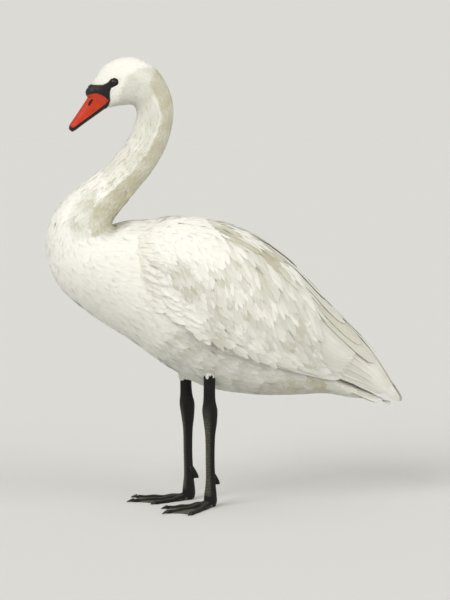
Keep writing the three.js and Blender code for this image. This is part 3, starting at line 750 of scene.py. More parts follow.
def shapeKnob():
    # an ellipsoid, its hind part drawn out long, low and wide into the face, with a few low lumps
    turn = np.linspace(0.03, np.pi - 0.03, knob["rings"])[:, None]
    around = np.linspace(0, 2 * np.pi, knob["around"], endpoint=False)[None]
    ry, rz = knob["radii"]
    x = -np.where(np.cos(turn) > 0, knob["ahead"], knob["behind"]) * np.cos(turn) + 0 * around
    behind = np.maximum(-np.cos(turn), 0)
    y = ry * (1 + knob["flare"] * behind) * np.sin(turn) * np.cos(around)
    z = rz * np.sin(turn) * np.sin(around)
    lumps = sum(share * np.sin(m * turn + n * around) for share, m, n in knob["lumps"])
    swell = 1 + lumps * np.sin(turn)
    y, z = y * swell, z * swell
    c, s = np.cos(knob["pitch"]), np.sin(knob["pitch"])
    return np.stack([x * c - z * s, y, x * s + z * c], -1) + np.array(knob["centre"], float)


lastRow = len(bill["rows"]) - 1
for name, node, rings in (
        ("billNail", "bill_nail", shapeUpperBill(bill["nail"] + bill["seam"], lastRow, bill["rings"]["nail"],
                                                 bill["nailRise"])),
        ("billLower", "bill_lower", shapeLowerBill(bill["rings"]["lower"])),
        ("billKnob", "bill_knob", shapeKnob())):
    points, faces = closedTube(rings)
    addPiece(newMesh(name, points, outward(points, faces)), hornFinish, [node])

# Laying feathers. A vane's cut is places along it, its half width there as a share, and the ring of points
# round it as shares of half width and thickness. Flat ends close every vane.
lozenge = [(-1, 0), (0, 1), (1, 0), (0, -1)]
vanes = {
    "down": {"along": [0, 0.6, 1], "half": [0.75, 1, 0.2], "ring": lozenge},
    "strand": {"along": [0, 0.35, 0.75, 1], "half": [0.6, 1, 0.9, 0.14], "ring": lozenge},
    "contour": {"along": [0, 0.4, 0.72, 0.91, 1], "half": [0.45, 1, 0.97, 0.66, 0.14], "ring": lozenge},
    "covert": {"along": [0, 0.3, 0.55, 0.78, 0.92, 1], "half": [0.4, 0.9, 1, 0.84, 0.5, 0.08],
               "ring": [(-1, 0), (-0.5, 0.8), (0, 1.1), (0.5, 0.8), (1, 0), (0, -0.8)]},
    "quill": {"along": [0, 0.12, 0.26, 0.4, 0.54, 0.66, 0.76, 0.84, 0.9, 0.95, 0.98, 1],
              "half": [0.5, 0.74, 0.88, 0.96, 1, 1, 0.98, 0.93, 0.83, 0.66, 0.45, 0.12],
              "shadedAt": (8, 3),  # the place near the tip, and the ring's point on the shaft
              "ring": [(-1, 0), (-0.55, 0.7), (-0.07, 0.9), (0, 2.2), (0.07, 0.9), (0.55, 0.7), (1, 0),
                       (0.5, -0.7), (0, -1.6), (-0.5, -0.7)]},
}

laying = {
    "fine": (500, 97),     # places along and across a surface at which it is measured
    "alongRow": 0.22,      # how far a root may stray along its row, as a share of its place
    "acrossRow": 0.3,      # and off its row
    "keep": (1.2, 0.05),   # a root is kept with this times the rows' spread there, and this more
    "bend": 0.07,          # of a vane to one side, as a share of its length
    "tilt": 0.05,          # of a vane across its width
    "drift": 0.75, "single": 0.3,  # how much the painted shade changes in drifts, and from vane to vane
    "followed": 0.65,      # share of a long vane's shade that changes along it
    "patch": 0.003,        # size of each vane's own place on the bake map
    # a plate takes a colour near the root's painted shade
    "bed": {"rootToTip": 0.45, "tone": 0.5, "rim": -1, "end": -1},  # what a plate under the vanes carries
}


def layVanes(surface, sign, lineA, lineB, cut, half, height, thick, tilt, cover, curl=0.0):
    # each centre line is given by its places on the surface (n, rows). Points stand off it to both sides
    # along the surface, then out along its normal by height, cover, thickness and the tilt across
    ringY, ringZ = np.array(cut["ring"], float).T
    share = np.array(cut["half"], float)
    p, ta, tb, normal = surfaceFrame(surface, lineA, lineB, sign)
    ahead = np.gradient(p, axis=1)
    side = unit(np.cross(normal, ahead))
    stepA, stepB = surfaceStep(ta, tb, side)
    y = share[None, :, None] * ringY
    away = np.asarray(half)[:, None, None] * y
    a, b = lineA[..., None] + away * stepA[..., None], lineB[..., None] + away * stepB[..., None]
    base, _, _, up = surfaceFrame(surface, a, b, sign)
    taper = 1 - 0.6 * np.array(cut["along"])[None, :, None]
    rise = height[..., None] + cover(a, b) + np.asarray(thick)[:, None, None] * ringZ * taper
    rise = rise + np.asarray(tilt)[:, None, None] * y - curl * y * y
    return base + up * rise[..., None]


def vaneBlock(points, cut, half, length, spot, tone, shade):
    # the vanes of one cut: their points, faces, corner places on both maps, and values; shade is given for
    # each vane, or for each vane and row
    n, rows, k = points.shape[:3]
    x, (ringY, _) = np.array(cut["along"], float), np.array(cut["ring"], float).T
    sides = np.roll(tubeFaces(rows, k)[:, ::-1], 1, axis=1)
    ends = np.stack([np.arange(k), (rows - 1) * k + np.arange(k)[::-1]])
    start = (np.arange(n) * rows * k)[:, None, None]
    r, c = np.divmod(np.arange((rows - 1) * k), k)
    patchSides = np.stack([np.stack([c, c, c + 1, c + 1], -1) / k,
                           x[np.stack([r, r + 1, r + 1, r], -1)]], -1)
    patchEnds = np.stack([np.tile(np.arange(k) / k, (2, 1)), np.repeat(x[[0, -1]], k).reshape(2, k)], -1)
    across = np.asarray(half)[:, None, None] * np.array(cut["half"])[None, :, None] * ringY
    down = np.broadcast_to(np.asarray(length)[:, None, None] * x[None, :, None], (n, rows, k))
    return {
        "points": points.reshape(-1, 3),
        "faces": [(sides[None] + start).reshape(-1, 4), (ends[None] + start).reshape(-1, k)],
        "patches": [np.broadcast_to(p, (n, *p.shape)) for p in (patchSides, patchEnds)],
        "spot": spot, "vane": np.stack([across, down], -1).reshape(-1, 2),
        "rootToTip": np.broadcast_to(x[None, :, None], (n, rows, k)).ravel(),
        "tone": np.repeat(tone, rows * k), "shade": np.repeat(np.broadcast_to(shade, (n, rows)), k),
        "rim": np.tile(np.where(np.abs(ringY) > 0.99, np.arange(k), -1), n * rows),
        "end": np.tile(np.repeat([0] + [-1] * (rows - 2) + [1], k), n),
    }


def coatPiece(name, blocks, material, replaced=(), solids=()):
    # joins blocks of vanes, and any plain closed solids under them, into one piece with both its maps
    points, faces, maps, vane, start = [], [], [], [], 0
    values = {key: [] for key in ("rootToTip", "tone", "shade", "rim", "end")}
    for block in blocks:
        points.append(block["points"])
        for f, patch in zip(block["faces"], block["patches"]):
            faces.append(f + start)
            place = block["spot"][:, None, None, :] + (patch - 0.5) * laying["patch"]
            maps.append((f.shape[1], place.reshape(-1, 2)))
        vane.append(block["vane"])
        for key in values:
            values[key].append(block[key])
        start += len(block["points"])
    for p, fs, spots in solids:
        points.append(p)
        for f in fs:
            faces.append(f + start)
            maps.append((f.shape[1], spots[f].reshape(-1, 2)))
        vane.append(np.zeros((len(p), 2)))
        values["shade"].append(shadeAt(p)[0])
        for key, number in laying["bed"].items():
            values[key].append(np.full(len(p), number))
        start += len(p)
    mesh = newMesh(name, np.concatenate(points), faces)
    vane = np.concatenate(vane)
    corners = np.zeros(len(mesh.loops), np.int32)
    mesh.loops.foreach_get("vertex_index", corners)
    mesh.uv_layers.new(name="OFBake").uv.foreach_set(
        "vector", np.concatenate([m for _, m in maps]).astype(np.float32).ravel())
    mesh.uv_layers.new(name="vane").uv.foreach_set("vector", vane[corners].astype(np.float32).ravel())
    rim, end = np.concatenate(values.pop("rim")), np.concatenate(values.pop("end"))
    setValues(mesh, {key: np.concatenate(v) for key, v in values.items()})
    edges = np.zeros(len(mesh.edges) * 2, np.int32)
    mesh.edges.foreach_get("vertices", edges)
    p, q = edges.reshape(-1, 2).T
    sharp = ((rim[p] == rim[q]) & (rim[p] >= 0)) | ((end[p] == end[q]) & (end[p] >= 0))
    mesh.attributes.new("sharp_edge", "BOOLEAN", "EDGE").data.foreach_set("value", sharp)
    addPiece(mesh, material, replaced)


def mapSpots(a, b, share=0.98, start=0.01):
    # each vane's place on the bake map: start + share times its places a and b, which run from 0 to 1
    return np.stack([a, b], -1) * share + start


def spreadRoots(surface, rangeA, rangeB, sizeAt, rng):
    # rows of roots, a row's step apart where the rows lie widest, a column's step apart along each row,
    # every other row moved half a place, and thinned where the rows run together
    countA, countB = laying["fine"]
    (gain, least), stray, off = laying["keep"], laying["alongRow"], laying["acrossRow"]
    fineA, fineB = np.linspace(*rangeA, countA), np.linspace(*rangeB, countB)
    _, ta, tb, _ = surfaceFrame(surface, *np.meshgrid(fineA, fineB, indexing="ij"))
    perA, perB = np.linalg.norm(ta, axis=-1), np.linalg.norm(tb, axis=-1)
    size = sizeAt(fineA)
    count = np.cumsum(perA.max(1) / size[:, 2]) * (fineA[1] - fineA[0])
    rows = np.interp(np.arange(0.5, count[-1]), count, fineA)
    placesA, placesB = [], []
    for i, a in enumerate(rows):
        at = min(np.searchsorted(fineA, a), len(fineA) - 1)
        arc = np.concatenate([[0], np.cumsum((perB[at, 1:] + perB[at, :-1]) / 2)]) * (fineB[1] - fineB[0])
        n = max(int(arc[-1] / size[at, 3]), 1)
        place = (np.arange(n) + 0.25 + 0.5 * (i % 2) + rng.uniform(-stray, stray, n)) / n * arc[-1]
        b = np.interp(place, arc, fineB)
        kept = rng.random(n) < np.interp(b, fineB, perA[at] / perA[at].max()) * gain + least
        a = a + rng.uniform(-off, off, n) * size[at, 2] / perA[at].max()
        placesA.append(a[kept])
        placesB.append(b[kept])
    return np.concatenate(placesA), np.concatenate(placesB)


def unevenShade(tips, rng, more=0.0):
    # the painted shade at each feather's tip times 1 + patchy (drift + chance), where drift is a product of
    # two bent sine waves that some feathers share, and chance is each one's own
    x, y, z = tips.T
    drift = np.sin(x / 11 + 2 * np.sin(z / 17)) * np.sin(z / 13 - 1.5 * np.sin(x / 19) + y / 40)
    shade, patchy = shadeAt(tips)
    change = laying["drift"] * drift + rng.normal(0, laying["single"], len(tips))
    return np.clip(shade * (1 + patchy * change) + more, 0, 1)[:, None]


def noCover(a, b):
    # nothing lies between these vanes and their surface
    return 0.0


def layCoat(surface, sign, a, b, cut, length, half, turn, rootHeight, tipHeight, rng, spot, cover=noCover,
            thick=0.22, fall=1.7, curl=0.25, shadeMore=0.0):
    # straight feathers: each centre line leaves its root at an angle to the surface's own first lines and
    # lies tip - (tip - root) (1 - x)^fall over the skin. Each takes the shade at its tip, unevenly
    n, x = len(a), np.array(cut["along"], float)
    _, ta, tb, normal = surfaceFrame(surface, a, b, sign)
    first = unit(ta)
    second = np.cross(normal, first)
    turn = turn[:, None]
    ahead = np.cos(turn) * first + np.sin(turn) * second
    side = np.cross(normal, ahead)
    stepA, stepB = surfaceStep(ta, tb, ahead)
    leanA, leanB = surfaceStep(ta, tb, side)
    run = length[:, None] * x
    bend = (rng.normal(0, laying["bend"], n) * length)[:, None] * x * x
    lineA = a[:, None] + run * stepA[:, None] + bend * leanA[:, None]
    lineB = b[:, None] + run * stepB[:, None] + bend * leanB[:, None]
    height = tipHeight[:, None] - (tipHeight - rootHeight)[:, None] * (1 - x) ** fall
    points = layVanes(surface, sign, lineA, lineB, cut, half, height, np.full(n, thick),
                      rng.normal(0, laying["tilt"], n) * half, cover, curl)
    tone = rng.random(n)
    return vaneBlock(points, cut, half, length, spot, tone, unevenShade(points[:, -1, 0], rng, shadeMore))


# The folded wings' own surface.
wing = {
    # left wing from the wrist to the tip: upper edge, pull point, hem, thickness
    "rows": np.array([
        [-167, -72, 472, -193, -112, 452, -187, -104, 386, 9],
        [-99, -36, 502, -99, -172, 497, -101, -127, 341, 14],
        [1, -21, 488, -3, -184, 472, -3, -127, 287, 13],
        [90, -15, 435, 89, -163, 409, 88, -98, 257, 9],
        [173, -11, 354, 171, -112, 318, 173, -60, 229, 7],
        [255, -9, 268, 253, -56, 246, 251, -28, 200, 5],
        [313, -8, 176, 310, -14, 174, 303, -9, 170, 3]], float),
    "slide": 5,    # the right one lies that much further back, the left one that much ahead
    "cover": (2.5, 1.0),  # how high its small feathers lie, over this share of its half thickness
    # plates under the feathers: points along and across, how far they lie inside both faces
    "bed": {"along": 30, "across": 26, "sunk": 3.0, "under": 0.6, "gap": 0.2},
}


def wingAt(side):
    # across each row a quadratic curve from the edge over the pull point to the hem, mirrored on the right
    def surface(t, v):
        row, v = along(wing["rows"], t), np.asarray(v)[..., None]
        p = (1 - v) ** 2 * row[..., :3] + 2 * v * (1 - v) * row[..., 3:6] + v * v * row[..., 6:9]
        return p * np.array([1, -side, 1]) + np.array([side, 0, -side / 2]) * wing["slide"]
    return surface


def wingCover(raised, share):
    # height of a group's outer face over the wing's surface, lower at both rims, least at the top of the
    # front, where the wing lies flush with the back
    def height(t, v):
        rim = np.clip(0.4 + 3 * np.minimum(v, 1 - v), 0.4, 1)
        flush = 1 - 0.9 * (1 - ease(v, -0.02, 0.2)) * (1 - ease(t, 1.2, 2.6))
        return (raised + along(wing["rows"][:, 9:], t)[..., 0] / 2 * share * rim) * flush
    return height


def bedPlate(outer, inner, a, b):
    # a closed plate between two sheets over the same grid of places a and b on the bake map
    points, faces = closedTube(np.concatenate([outer, inner[:, ::-1]], 1))
    spots = np.stack([np.concatenate([place, place[:, ::-1]], 1).ravel() for place in (a, b)], -1)
    return points, outward(points, faces), np.concatenate([spots, spots[:1], spots[-1:]])


def wingBed(side, start, end, across, cover, onMap):
    # a closed plate under the feathers, a little inside their outer face. It runs from the line
    # t = start[0] + start[1] v to t = end[0] + end[1] v
    bed = wing["bed"]
    s, v = np.meshgrid(np.linspace(0, 1, bed["along"]), np.linspace(*across, bed["across"]), indexing="ij")
    t = mix(start[0] + start[1] * v, end[0] + end[1] * v, s)
    p, _, _, n = surfaceFrame(wingAt(side), t, v, side)
    outer = p + n * (cover(t, v) - bed["sunk"])[..., None]
    inner = p - n * (cover(t, v) * bed["under"] + bed["gap"])[..., None]
    length, share, first = onMap
    return bedPlate(outer, inner, t / length * share + first, v * share + first)


# The small plumage of head, neck and body. At each body station: length, half width, step between rows and
# step along a row.
coatRows = np.array([
    [6.4, 0.8, 1.9, 1.35], [7.4, 0.92, 2.1, 1.5], [9, 1.02, 2.4, 1.65], [12, 1.15, 2.9, 1.8],
    [15, 1.35, 3.5, 1.9], [19, 1.55, 4.0, 2.1], [21, 1.85, 4.6, 2.45], [22, 2.3, 5.3, 3.0],
    [23, 2.8, 5.8, 3.6], [25, 3.3, 6.6, 4.1], [27, 3.8, 7.4, 4.6], [29, 4.1, 8.0, 5.0],
    [31, 4.4, 8.4, 5.2], [32, 4.5, 8.6, 5.3], [32, 4.5, 8.6, 5.3], [32, 4.5, 8.6, 5.3],
    [34, 4.5, 8.8, 5.2], [36, 4.6, 9.0, 5.0], [38, 4.6, 9.0, 4.8], [38, 4.5, 9, 4.6]])


def wingOutline(side):
    # the rim of a folded wing in side view
    t, v = np.meshgrid(np.linspace(0.1, 6, 60), np.array([0.0, 1.0]), indexing="ij")
    sheet = wingAt(side)(t, v)
    return np.concatenate([sheet[:, 0], sheet[::-1, 1]])[:, [0, 2]]


def sideGap(points, others):
    # squared distance in side view from each point to each of the others
    return (points[:, None, 0] - others[None, :, 0]) ** 2 + (points[:, None, 2] - others[None, :, 2]) ** 2


# Where the body has no feathers: on skin barer than this, or over such skin this near the eye; ahead of an x
# between two heights, where the bill lies; under the back's own, between two x, over the heights there and
# within a half width; and under a wing, so far inside its rim and its sheet.
noCoat = {"bare": 0.35, "eye": 12, "mouth": (-234, 600, 733), "backX": (-30, 140), "backZ": (440, 270),
          "backHalf": 60, "rim": 20, "sheet": 7}
# How feathers near a wing's front and lower rim lie out over it: the stations looked at, how far under its
# outer face, the least y, the furthest inside the rim, the last x, the spare room, the squared distance from
# tip to face that counts as near, the most a tip moves, and where out is more sideways than up.
overWing = {"stations": (0.02, 2.4), "under": 1.5, "least": 30, "rim": 26, "last": 30, "spare": 1.2,
            "near": 60, "most": 14, "sideways": (0.4, 0.8)}


def coveredByWing(points):
    # roots that lie well inside a wing's side outline and nearer the middle than its sheet, and those
    # under the feathers between the wings
    x, y, z = points.T
    first, last = noCoat["backX"]
    hidden = (x > first) & (x < last) & (np.abs(y) < noCoat["backHalf"])
    hidden &= z > np.interp(x, noCoat["backX"], noCoat["backZ"])
    t, v = np.meshgrid(np.linspace(0.35, 6, 60), np.linspace(0, 1, 30), indexing="ij")
    for side in (-1, 1):
        flat = wingAt(side)(t, v).reshape(-1, 3)
        inside = outlineDistance(wingOutline(side), x, z) < -noCoat["rim"]
        near = np.flatnonzero(inside & (y * side > 0))
        gap = sideGap(points[near], flat)
        hidden[near] |= np.abs(y[near]) < np.abs(flat[gap.argmin(1), 1]) - noCoat["sheet"]
    return hidden


def riseOverWing(root, tip, normal):
    # how far out a feather's tip has to lie to clear the wing's outer face, where the feather starts near
    # or off the wing's front and lower rim, and where out is more sideways than up
    s, rise = overWing, np.zeros(len(tip))
    t, v = np.meshgrid(np.linspace(*s["stations"], 50), np.linspace(0, 1, 40), indexing="ij")
    for side in (-1, 1):
        sheet, _, _, out = surfaceFrame(wingAt(side), t, v, side)
        outer = (sheet + out * (wingCover(*wing["cover"])(t, v) - s["under"])[..., None]).reshape(-1, 3)
        off = outlineDistance(wingOutline(side), root[:, 0], root[:, 2])
        near = np.flatnonzero((tip[:, 1] * side > s["least"]) & (off > -s["rim"]) & (tip[:, 0] < s["last"]))
        gap = sideGap(tip[near], outer)
        first = gap.argmin(1)
        need = np.clip((outer[first, 1] - tip[near, 1]) * side + s["spare"], 0, s["most"])
        rise[near] = np.where(gap[np.arange(len(near)), first] < s["near"], need, 0)
    return rise * ease(np.abs(normal[:, 1]), *s["sideways"])


# The coat's pieces: body stations, kind of vane, material and seed; then how far the tips rise, how thick the
# vanes are, how soon they lie flat, how unevenly they turn, and how much painted shade single strands get.
coats = {
    "coatHead": {"stations": (0.0, 4.0), "vane": "down", "material": finePlumage, "seed": 11,
                 "lift": 0.12, "thick": 0.10, "fall": 2.2, "wild": 0.09, "shadeStreaks": 0.0},
    "coatNeck": {"stations": (3.85, 8.0), "vane": "strand", "material": finePlumage, "seed": 12,
                 "lift": 0.35, "thick": 0.12, "fall": 2.4, "wild": 0.11, "shadeStreaks": 0.4},
    "coatBreast": {"stations": (7.8, 11.2), "vane": "contour", "material": plumage, "seed": 13,
                   "lift": 0.35, "thick": 0.16, "fall": 2.8, "wild": 0.09, "shadeStreaks": 0.0},
    "coatBelly": {"stations": (10.9, 15.6), "vane": "contour", "material": plumage, "seed": 14,
                  "lift": 0.45, "thick": 0.18, "fall": 2.8, "wild": 0.09, "shadeStreaks": 0.0},
    "coatRump": {"stations": (15.2, 18.75), "vane": "contour", "material": plumage, "seed": 15,
                 "lift": 0.5, "thick": 0.2, "fall": 2.8, "wild": 0.09, "shadeStreaks": 0.0},
}
# Single strands darkened with painted shade, as lines of shade between them: their share, how high they
# begin, and how far from the middle plane.
shadedStrands = {"share": 0.16, "above": 560, "off": 8}


def bodyCoat(settings):
    # feathers from one station to another, each turned by a slow swirl of sines and its own wildness,
    # rooted in the skin and lying lift times its own share over it
    rng, (start, end) = np.random.default_rng(settings["seed"]), settings["stations"]
    t, angle = spreadRoots(bodyAt, (start, end), (0, 2 * np.pi), lambda a: along(coatRows, a), rng)
    p, ta, _, normal = surfaceFrame(bodyAt, t, angle)
    length, half = along(coatRows, t)[:, 0] * rng.uniform(0.82, 1.18, len(t)), along(coatRows, t)[:, 1]
    tip = p + unit(ta) * length[:, None] * 0.9
    nearEye = eyeReach(tip[:, 0], tip[:, 2]) < noCoat["eye"]
    bare = np.maximum(bareShareAt(p), bareShareAt(tip) * nearEye)
    front, low, high = noCoat["mouth"]
    clear = (bare < noCoat["bare"]) & ~coveredByWing(p)
    clear &= (p[:, 0] > front) | (p[:, 2] > high) | (p[:, 2] < low)
    t, angle, p, tip, normal, length, half = (v[clear] for v in (t, angle, p, tip, normal, length, half))
    n = len(t)
    swirl = 0.10 * np.sin(p[:, 0] / 37 + p[:, 2] / 29) + 0.06 * np.sin(p[:, 1] / 17 - p[:, 2] / 43)
    depth = along(bodyRows[:, 7:], t)[:, 0]
    spot = mapSpots((t - start) / (end - start + 0.3), angle / (2 * np.pi), 0.99, 0.004)
    half = half * rng.uniform(0.85, 1.15, n)
    tipHeight = rng.uniform(-0.2, 1, n) * settings["lift"] + riseOverWing(p, tip, normal)
    turn = swirl + rng.normal(0, settings["wild"], n)
    # single strands on the neck get extra painted shade, as lines of shade between strands
    dark = (rng.random(n) < shadedStrands["share"]) & (p[:, 2] > shadedStrands["above"])
    dark &= np.abs(p[:, 1]) > shadedStrands["off"]
    return layCoat(bodyAt, 1, t, angle, vanes[settings["vane"]], length, half, turn, -0.85 * depth, tipHeight,
                   rng, spot, thick=settings["thick"], fall=settings["fall"], curl=0.05 * half.mean(),
                   shadeMore=settings["shadeStreaks"] * dark)


for name, settings in coats.items():
    coatPiece(name, [bodyCoat(settings)], settings["material"])

# Two close rows of the smallest feathers, rooted along the bare face's edge: the part of its outline, the
# step along it, the rows' distances from it, their size, and where on the head their roots are looked for.
faceEdge = {"first": 1, "last": 17, "step": 0.6, "off": (0.5, 1.3), "length": 3.2, "half": 0.5,
            "stations": (0, 2.4), "angles": (0.3, 2.9)}


def faceEdgeRoots(off):
    # points along the black outline, moved out by off, then the nearest place on the head for each
    outline = np.array(face["outline"][faceEdge["first"]:faceEdge["last"] + 1], float)
    arc = np.concatenate([[0], np.cumsum(np.hypot(*np.diff(outline, axis=0).T))])
    at = np.arange(0, arc[-1], faceEdge["step"])
    x, z = (np.interp(at, arc, outline[:, i]) for i in (0, 1))
    ahead = unit(np.stack([np.gradient(x), np.gradient(z)], -1))
    x, z = x - ahead[:, 1] * off, z + ahead[:, 0] * off
    t, angle = np.meshgrid(np.linspace(*faceEdge["stations"], 240), np.linspace(*faceEdge["angles"], 200),
                           indexing="ij")
    head = bodyAt(t, angle)
    nearest = ((head[None, ..., 0] - x[:, None, None]) ** 2 + (head[None, ..., 2] - z[:, None, None]) ** 2)
    nearest = nearest.reshape(len(x), -1).argmin(1)
    return t.ravel()[nearest], angle.ravel()[nearest]


rng = np.random.default_rng(17)
t, angle = (np.concatenate(v) for v in zip(*[faceEdgeRoots(off) for off in faceEdge["off"]]))
t, angle = np.tile(t, 2), np.concatenate([angle, 2 * np.pi - angle])
n = len(t)
coatPiece("coatFaceEdge", [layCoat(
    bodyAt, 1, t, angle, vanes["down"], faceEdge["length"] * rng.uniform(0.8, 1.2, n),
    np.full(n, faceEdge["half"]), rng.normal(0, 0.12, n), np.full(n, -0.3), rng.uniform(0.0, 0.25, n), rng,
    mapSpots(t / 2.5, angle / (2 * np.pi), 0.99, 0.004), thick=0.1, curl=0.02)], finePlumage)

# The feathers round the legs' tops: their size, the steps between them, and the last ring of their
# surface, as its drop below the edge and its two radii.
thighCoat = {"size": (15, 2.2, 3.6, 2.8), "stations": (0.5, 2.92), "last": (6, 11.6, 10.6)}
rng = np.random.default_rng(21)
blocks = []
for i, leg in enumerate(legs.values()):
    rows, (drop, *radii) = thighRows(leg), thighCoat["last"]
    rows = np.concatenate([rows, [[leg["knee"], rows[0, 1], leg["feathers"] - drop, *radii]]])
    size = np.array(thighCoat["size"], float)
    surface = lambda t, angle, rows=rows: limbAt(rows, t, angle)
    sizeAt = lambda a: np.tile(size, (len(a), 1))
    t, angle = spreadRoots(surface, thighCoat["stations"], (0, 2 * np.pi), sizeAt, rng)
    n = len(t)
    # each leg has half of the bake map's width
    spot = np.stack([(t / 3.1 + i) * 0.49 + 0.005, angle / (2 * np.pi) * 0.99 + 0.004], -1)
    blocks.append(layCoat(surface, 1, t, angle, vanes["contour"], size[0] * rng.uniform(0.75, 1.2, n),
                          size[1] * rng.uniform(0.8, 1.1, n), rng.normal(0, 0.12, n), np.full(n, -3.0),
                          rng.uniform(-0.2, 0.5, n), rng, spot, thick=0.18, fall=2.4))
coatPiece("coatThighs", blocks, plumage)

# The wings' small feathers.
coverts = {
    # at each wing station: length, half width, step between rows, step along a row
    "rows": np.array([[20, 3.4, 5.2, 4.4], [30, 4.2, 7.6, 5.2], [48, 5.0, 12, 6.2], [60, 6.2, 16, 7.6],
                      [64, 6.6, 18, 8.4]]),
    # how far their roots run along the wing, and their highest place across it at some stations
    "from": 0.02, "to": 3.35, "free": [0, 2.2, 3.1, 3.4, 4.35], "top": [-0.02, 0.04, 0.15, 0.22, 0.36],
    "turn": (0.08, 0.66, 0.09),    # down the wing in radians: everywhere, over its face, and unevenly
    "heights": (-3.2, -0.2, 0.6),  # of the roots, of the lowest tips and of the highest
    "bed": ((0.0, 0.0), (2.6, -0.3), (0.02, 0.98)), "onMap": (3.7, 0.98, 0.01),
}


def fanned(count, first, last):
    # count rows from first to last, every number evenly stepped
    return mix(np.array(first, float)[None], np.array(last, float)[None], np.linspace(0, 1, count)[:, None])


# Long feathers, each row giving its root t and v, tip t and v, half width, height at root and tip, and tilt
# across. "cover" is how far a group stands over the wing's middle sheet, and "bed" the plate under it: its
# start line, its end line and its reach across.
flight = {
    "Tertials": {
        "rows": [[2.4, 0.38, 5.05, 0.36, 20, -2.5, 0.6, 1.6], [2.3, 0.30, 4.7, 0.28, 22, -2.0, 1.2, 1.5],
                 [2.1, 0.20, 4.32, 0.19, 23, -1.5, 1.9, 1.4], [1.9, 0.11, 3.9, 0.10, 22, -1.0, 2.7, 1.2],
                 [1.5, 0.04, 3.3, 0.04, 19, -0.5, 3.4, 0.9]],
        "cover": (1.8, 0.9), "bed": ((2.3, 0.0), (3.3, 3.0), (0.02, 0.40))},
    "Secondaries": {
        "rows": fanned(10, [2.2, 1.02, 4.28, 1.0, 12, -1.6, -0.4, 1.3],
                       [2.2, 0.44, 4.62, 0.46, 17, -1.6, 0.6, 1.3]),
        "cover": (0.6, 0.85), "bed": ((2.2, 0.0), (4.45, -0.45), (0.38, 0.99))},
    "Primaries": {
        "rows": fanned(7, [3.5, 0.97, 5.45, 0.97, 9, -0.9, -0.4, 0.5],
                       [3.5, 0.22, 6.0, 0.45, 12, -0.5, 0.6, 0.5]),
        "cover": (-0.6, 0.6), "bed": ((3.4, 0.0), (5.7, -0.25), (0.04, 0.99))},
}
flightOnMap = (7, 1, 0)  # stations over the map's width, share of it and start, for the plates


def layQuills(surface, side, rows, cover, rng, thick=0.55, curl=0.6, margin=0.1):
    # long single feathers, each straight between two places on the surface, with painted shade partly as a
    # whole and partly along their length. They lie side by side on the bake map, a margin from its edges
    rows, cut = np.array(rows, float), vanes["quill"]
    x, count = np.array(cut["along"])[None], len(rows)
    t0, v0, t1, v1, half, low, high, tilt = rows.T[:, :, None]
    lineA, lineB = mix(t0, t1, x), mix(v0, v1, x)
    height = mix(low, high, ease(x, 0, 0.9))
    points = layVanes(surface, side, lineA, lineB, cut, half[:, 0], height, np.full(count, thick),
                      tilt[:, 0] * side, cover, curl)
    length = np.linalg.norm(points[:, -1, 0] - points[:, 0, 0], axis=-1)
    near, shaft = cut["shadedAt"]
    whole = unevenShade(points[:, near, shaft], rng)
    shade = mix(whole, shadeAt(points[:, :, shaft])[0], laying["followed"])
    spots = np.stack([np.linspace(margin, 1 - margin, count), np.full(count, 0.5)], -1)
    return vaneBlock(points, cut, half[:, 0], length, spots, rng.random(count), shade)


def layCoverts(surface, side, rng):
    # the small feathers of the wing in rows, the longest over the secondaries. They hang down and back, most
    # on the wing's face behind the wrist, and less towards its tip and its hem
    t, v = spreadRoots(surface, (coverts["from"], coverts["to"]), (-0.02, 1.0),
                       lambda a: along(coverts["rows"], a), rng)
    length = along(coverts["rows"], t)[:, 0] * rng.uniform(0.8, 1.15, len(t))
    kept = v > np.interp(t, coverts["free"], coverts["top"])
    t, v, length = t[kept], v[kept], length[kept]
    n, half = len(t), along(coverts["rows"], t)[:, 1] * rng.uniform(0.85, 1.15, len(t))
    (least, most, uneven), (low, *tips) = coverts["turn"], coverts["heights"]
    turn = least + most * ease(v, 0.06, 0.45) * ease(t, -0.2, 1.0) * (1 - 0.5 * ease(t, 1.8, 3.3))
    turn = side * turn * (1 - 0.65 * ease(v, 0.72, 1)) + rng.normal(0, uneven, n)
    stations, share, start = coverts["onMap"]
    return layCoat(surface, side, t, v, vanes["covert"], length, half, turn, np.full(n, low),
                   rng.uniform(*tips, n), rng, mapSpots(t / stations, v, share, start),
                   wingCover(*wing["cover"]), thick=0.22, fall=2.8, curl=0.3)


for name, side, seed in (("Left", -1, 31), ("Right", 1, 37)):
    surface, rng = wingAt(side), np.random.default_rng(seed)
    node = "wing_" + name.lower() + "_"
    bed = wingBed(side, *coverts["bed"], wingCover(*wing["cover"]), coverts["onMap"])
    coatPiece("wing" + name + "Coverts", [layCoverts(surface, side, rng)], plumage,
              [node + "coverts"], [bed])
    for group, settings in flight.items():
        cover = wingCover(*settings["cover"])
        bed = wingBed(side, *settings["bed"], cover, flightOnMap)
        coatPiece("wing" + name + group, [layQuills(surface, side, settings["rows"], cover, rng)],
                  flightVane, [node + group.lower()], [bed])


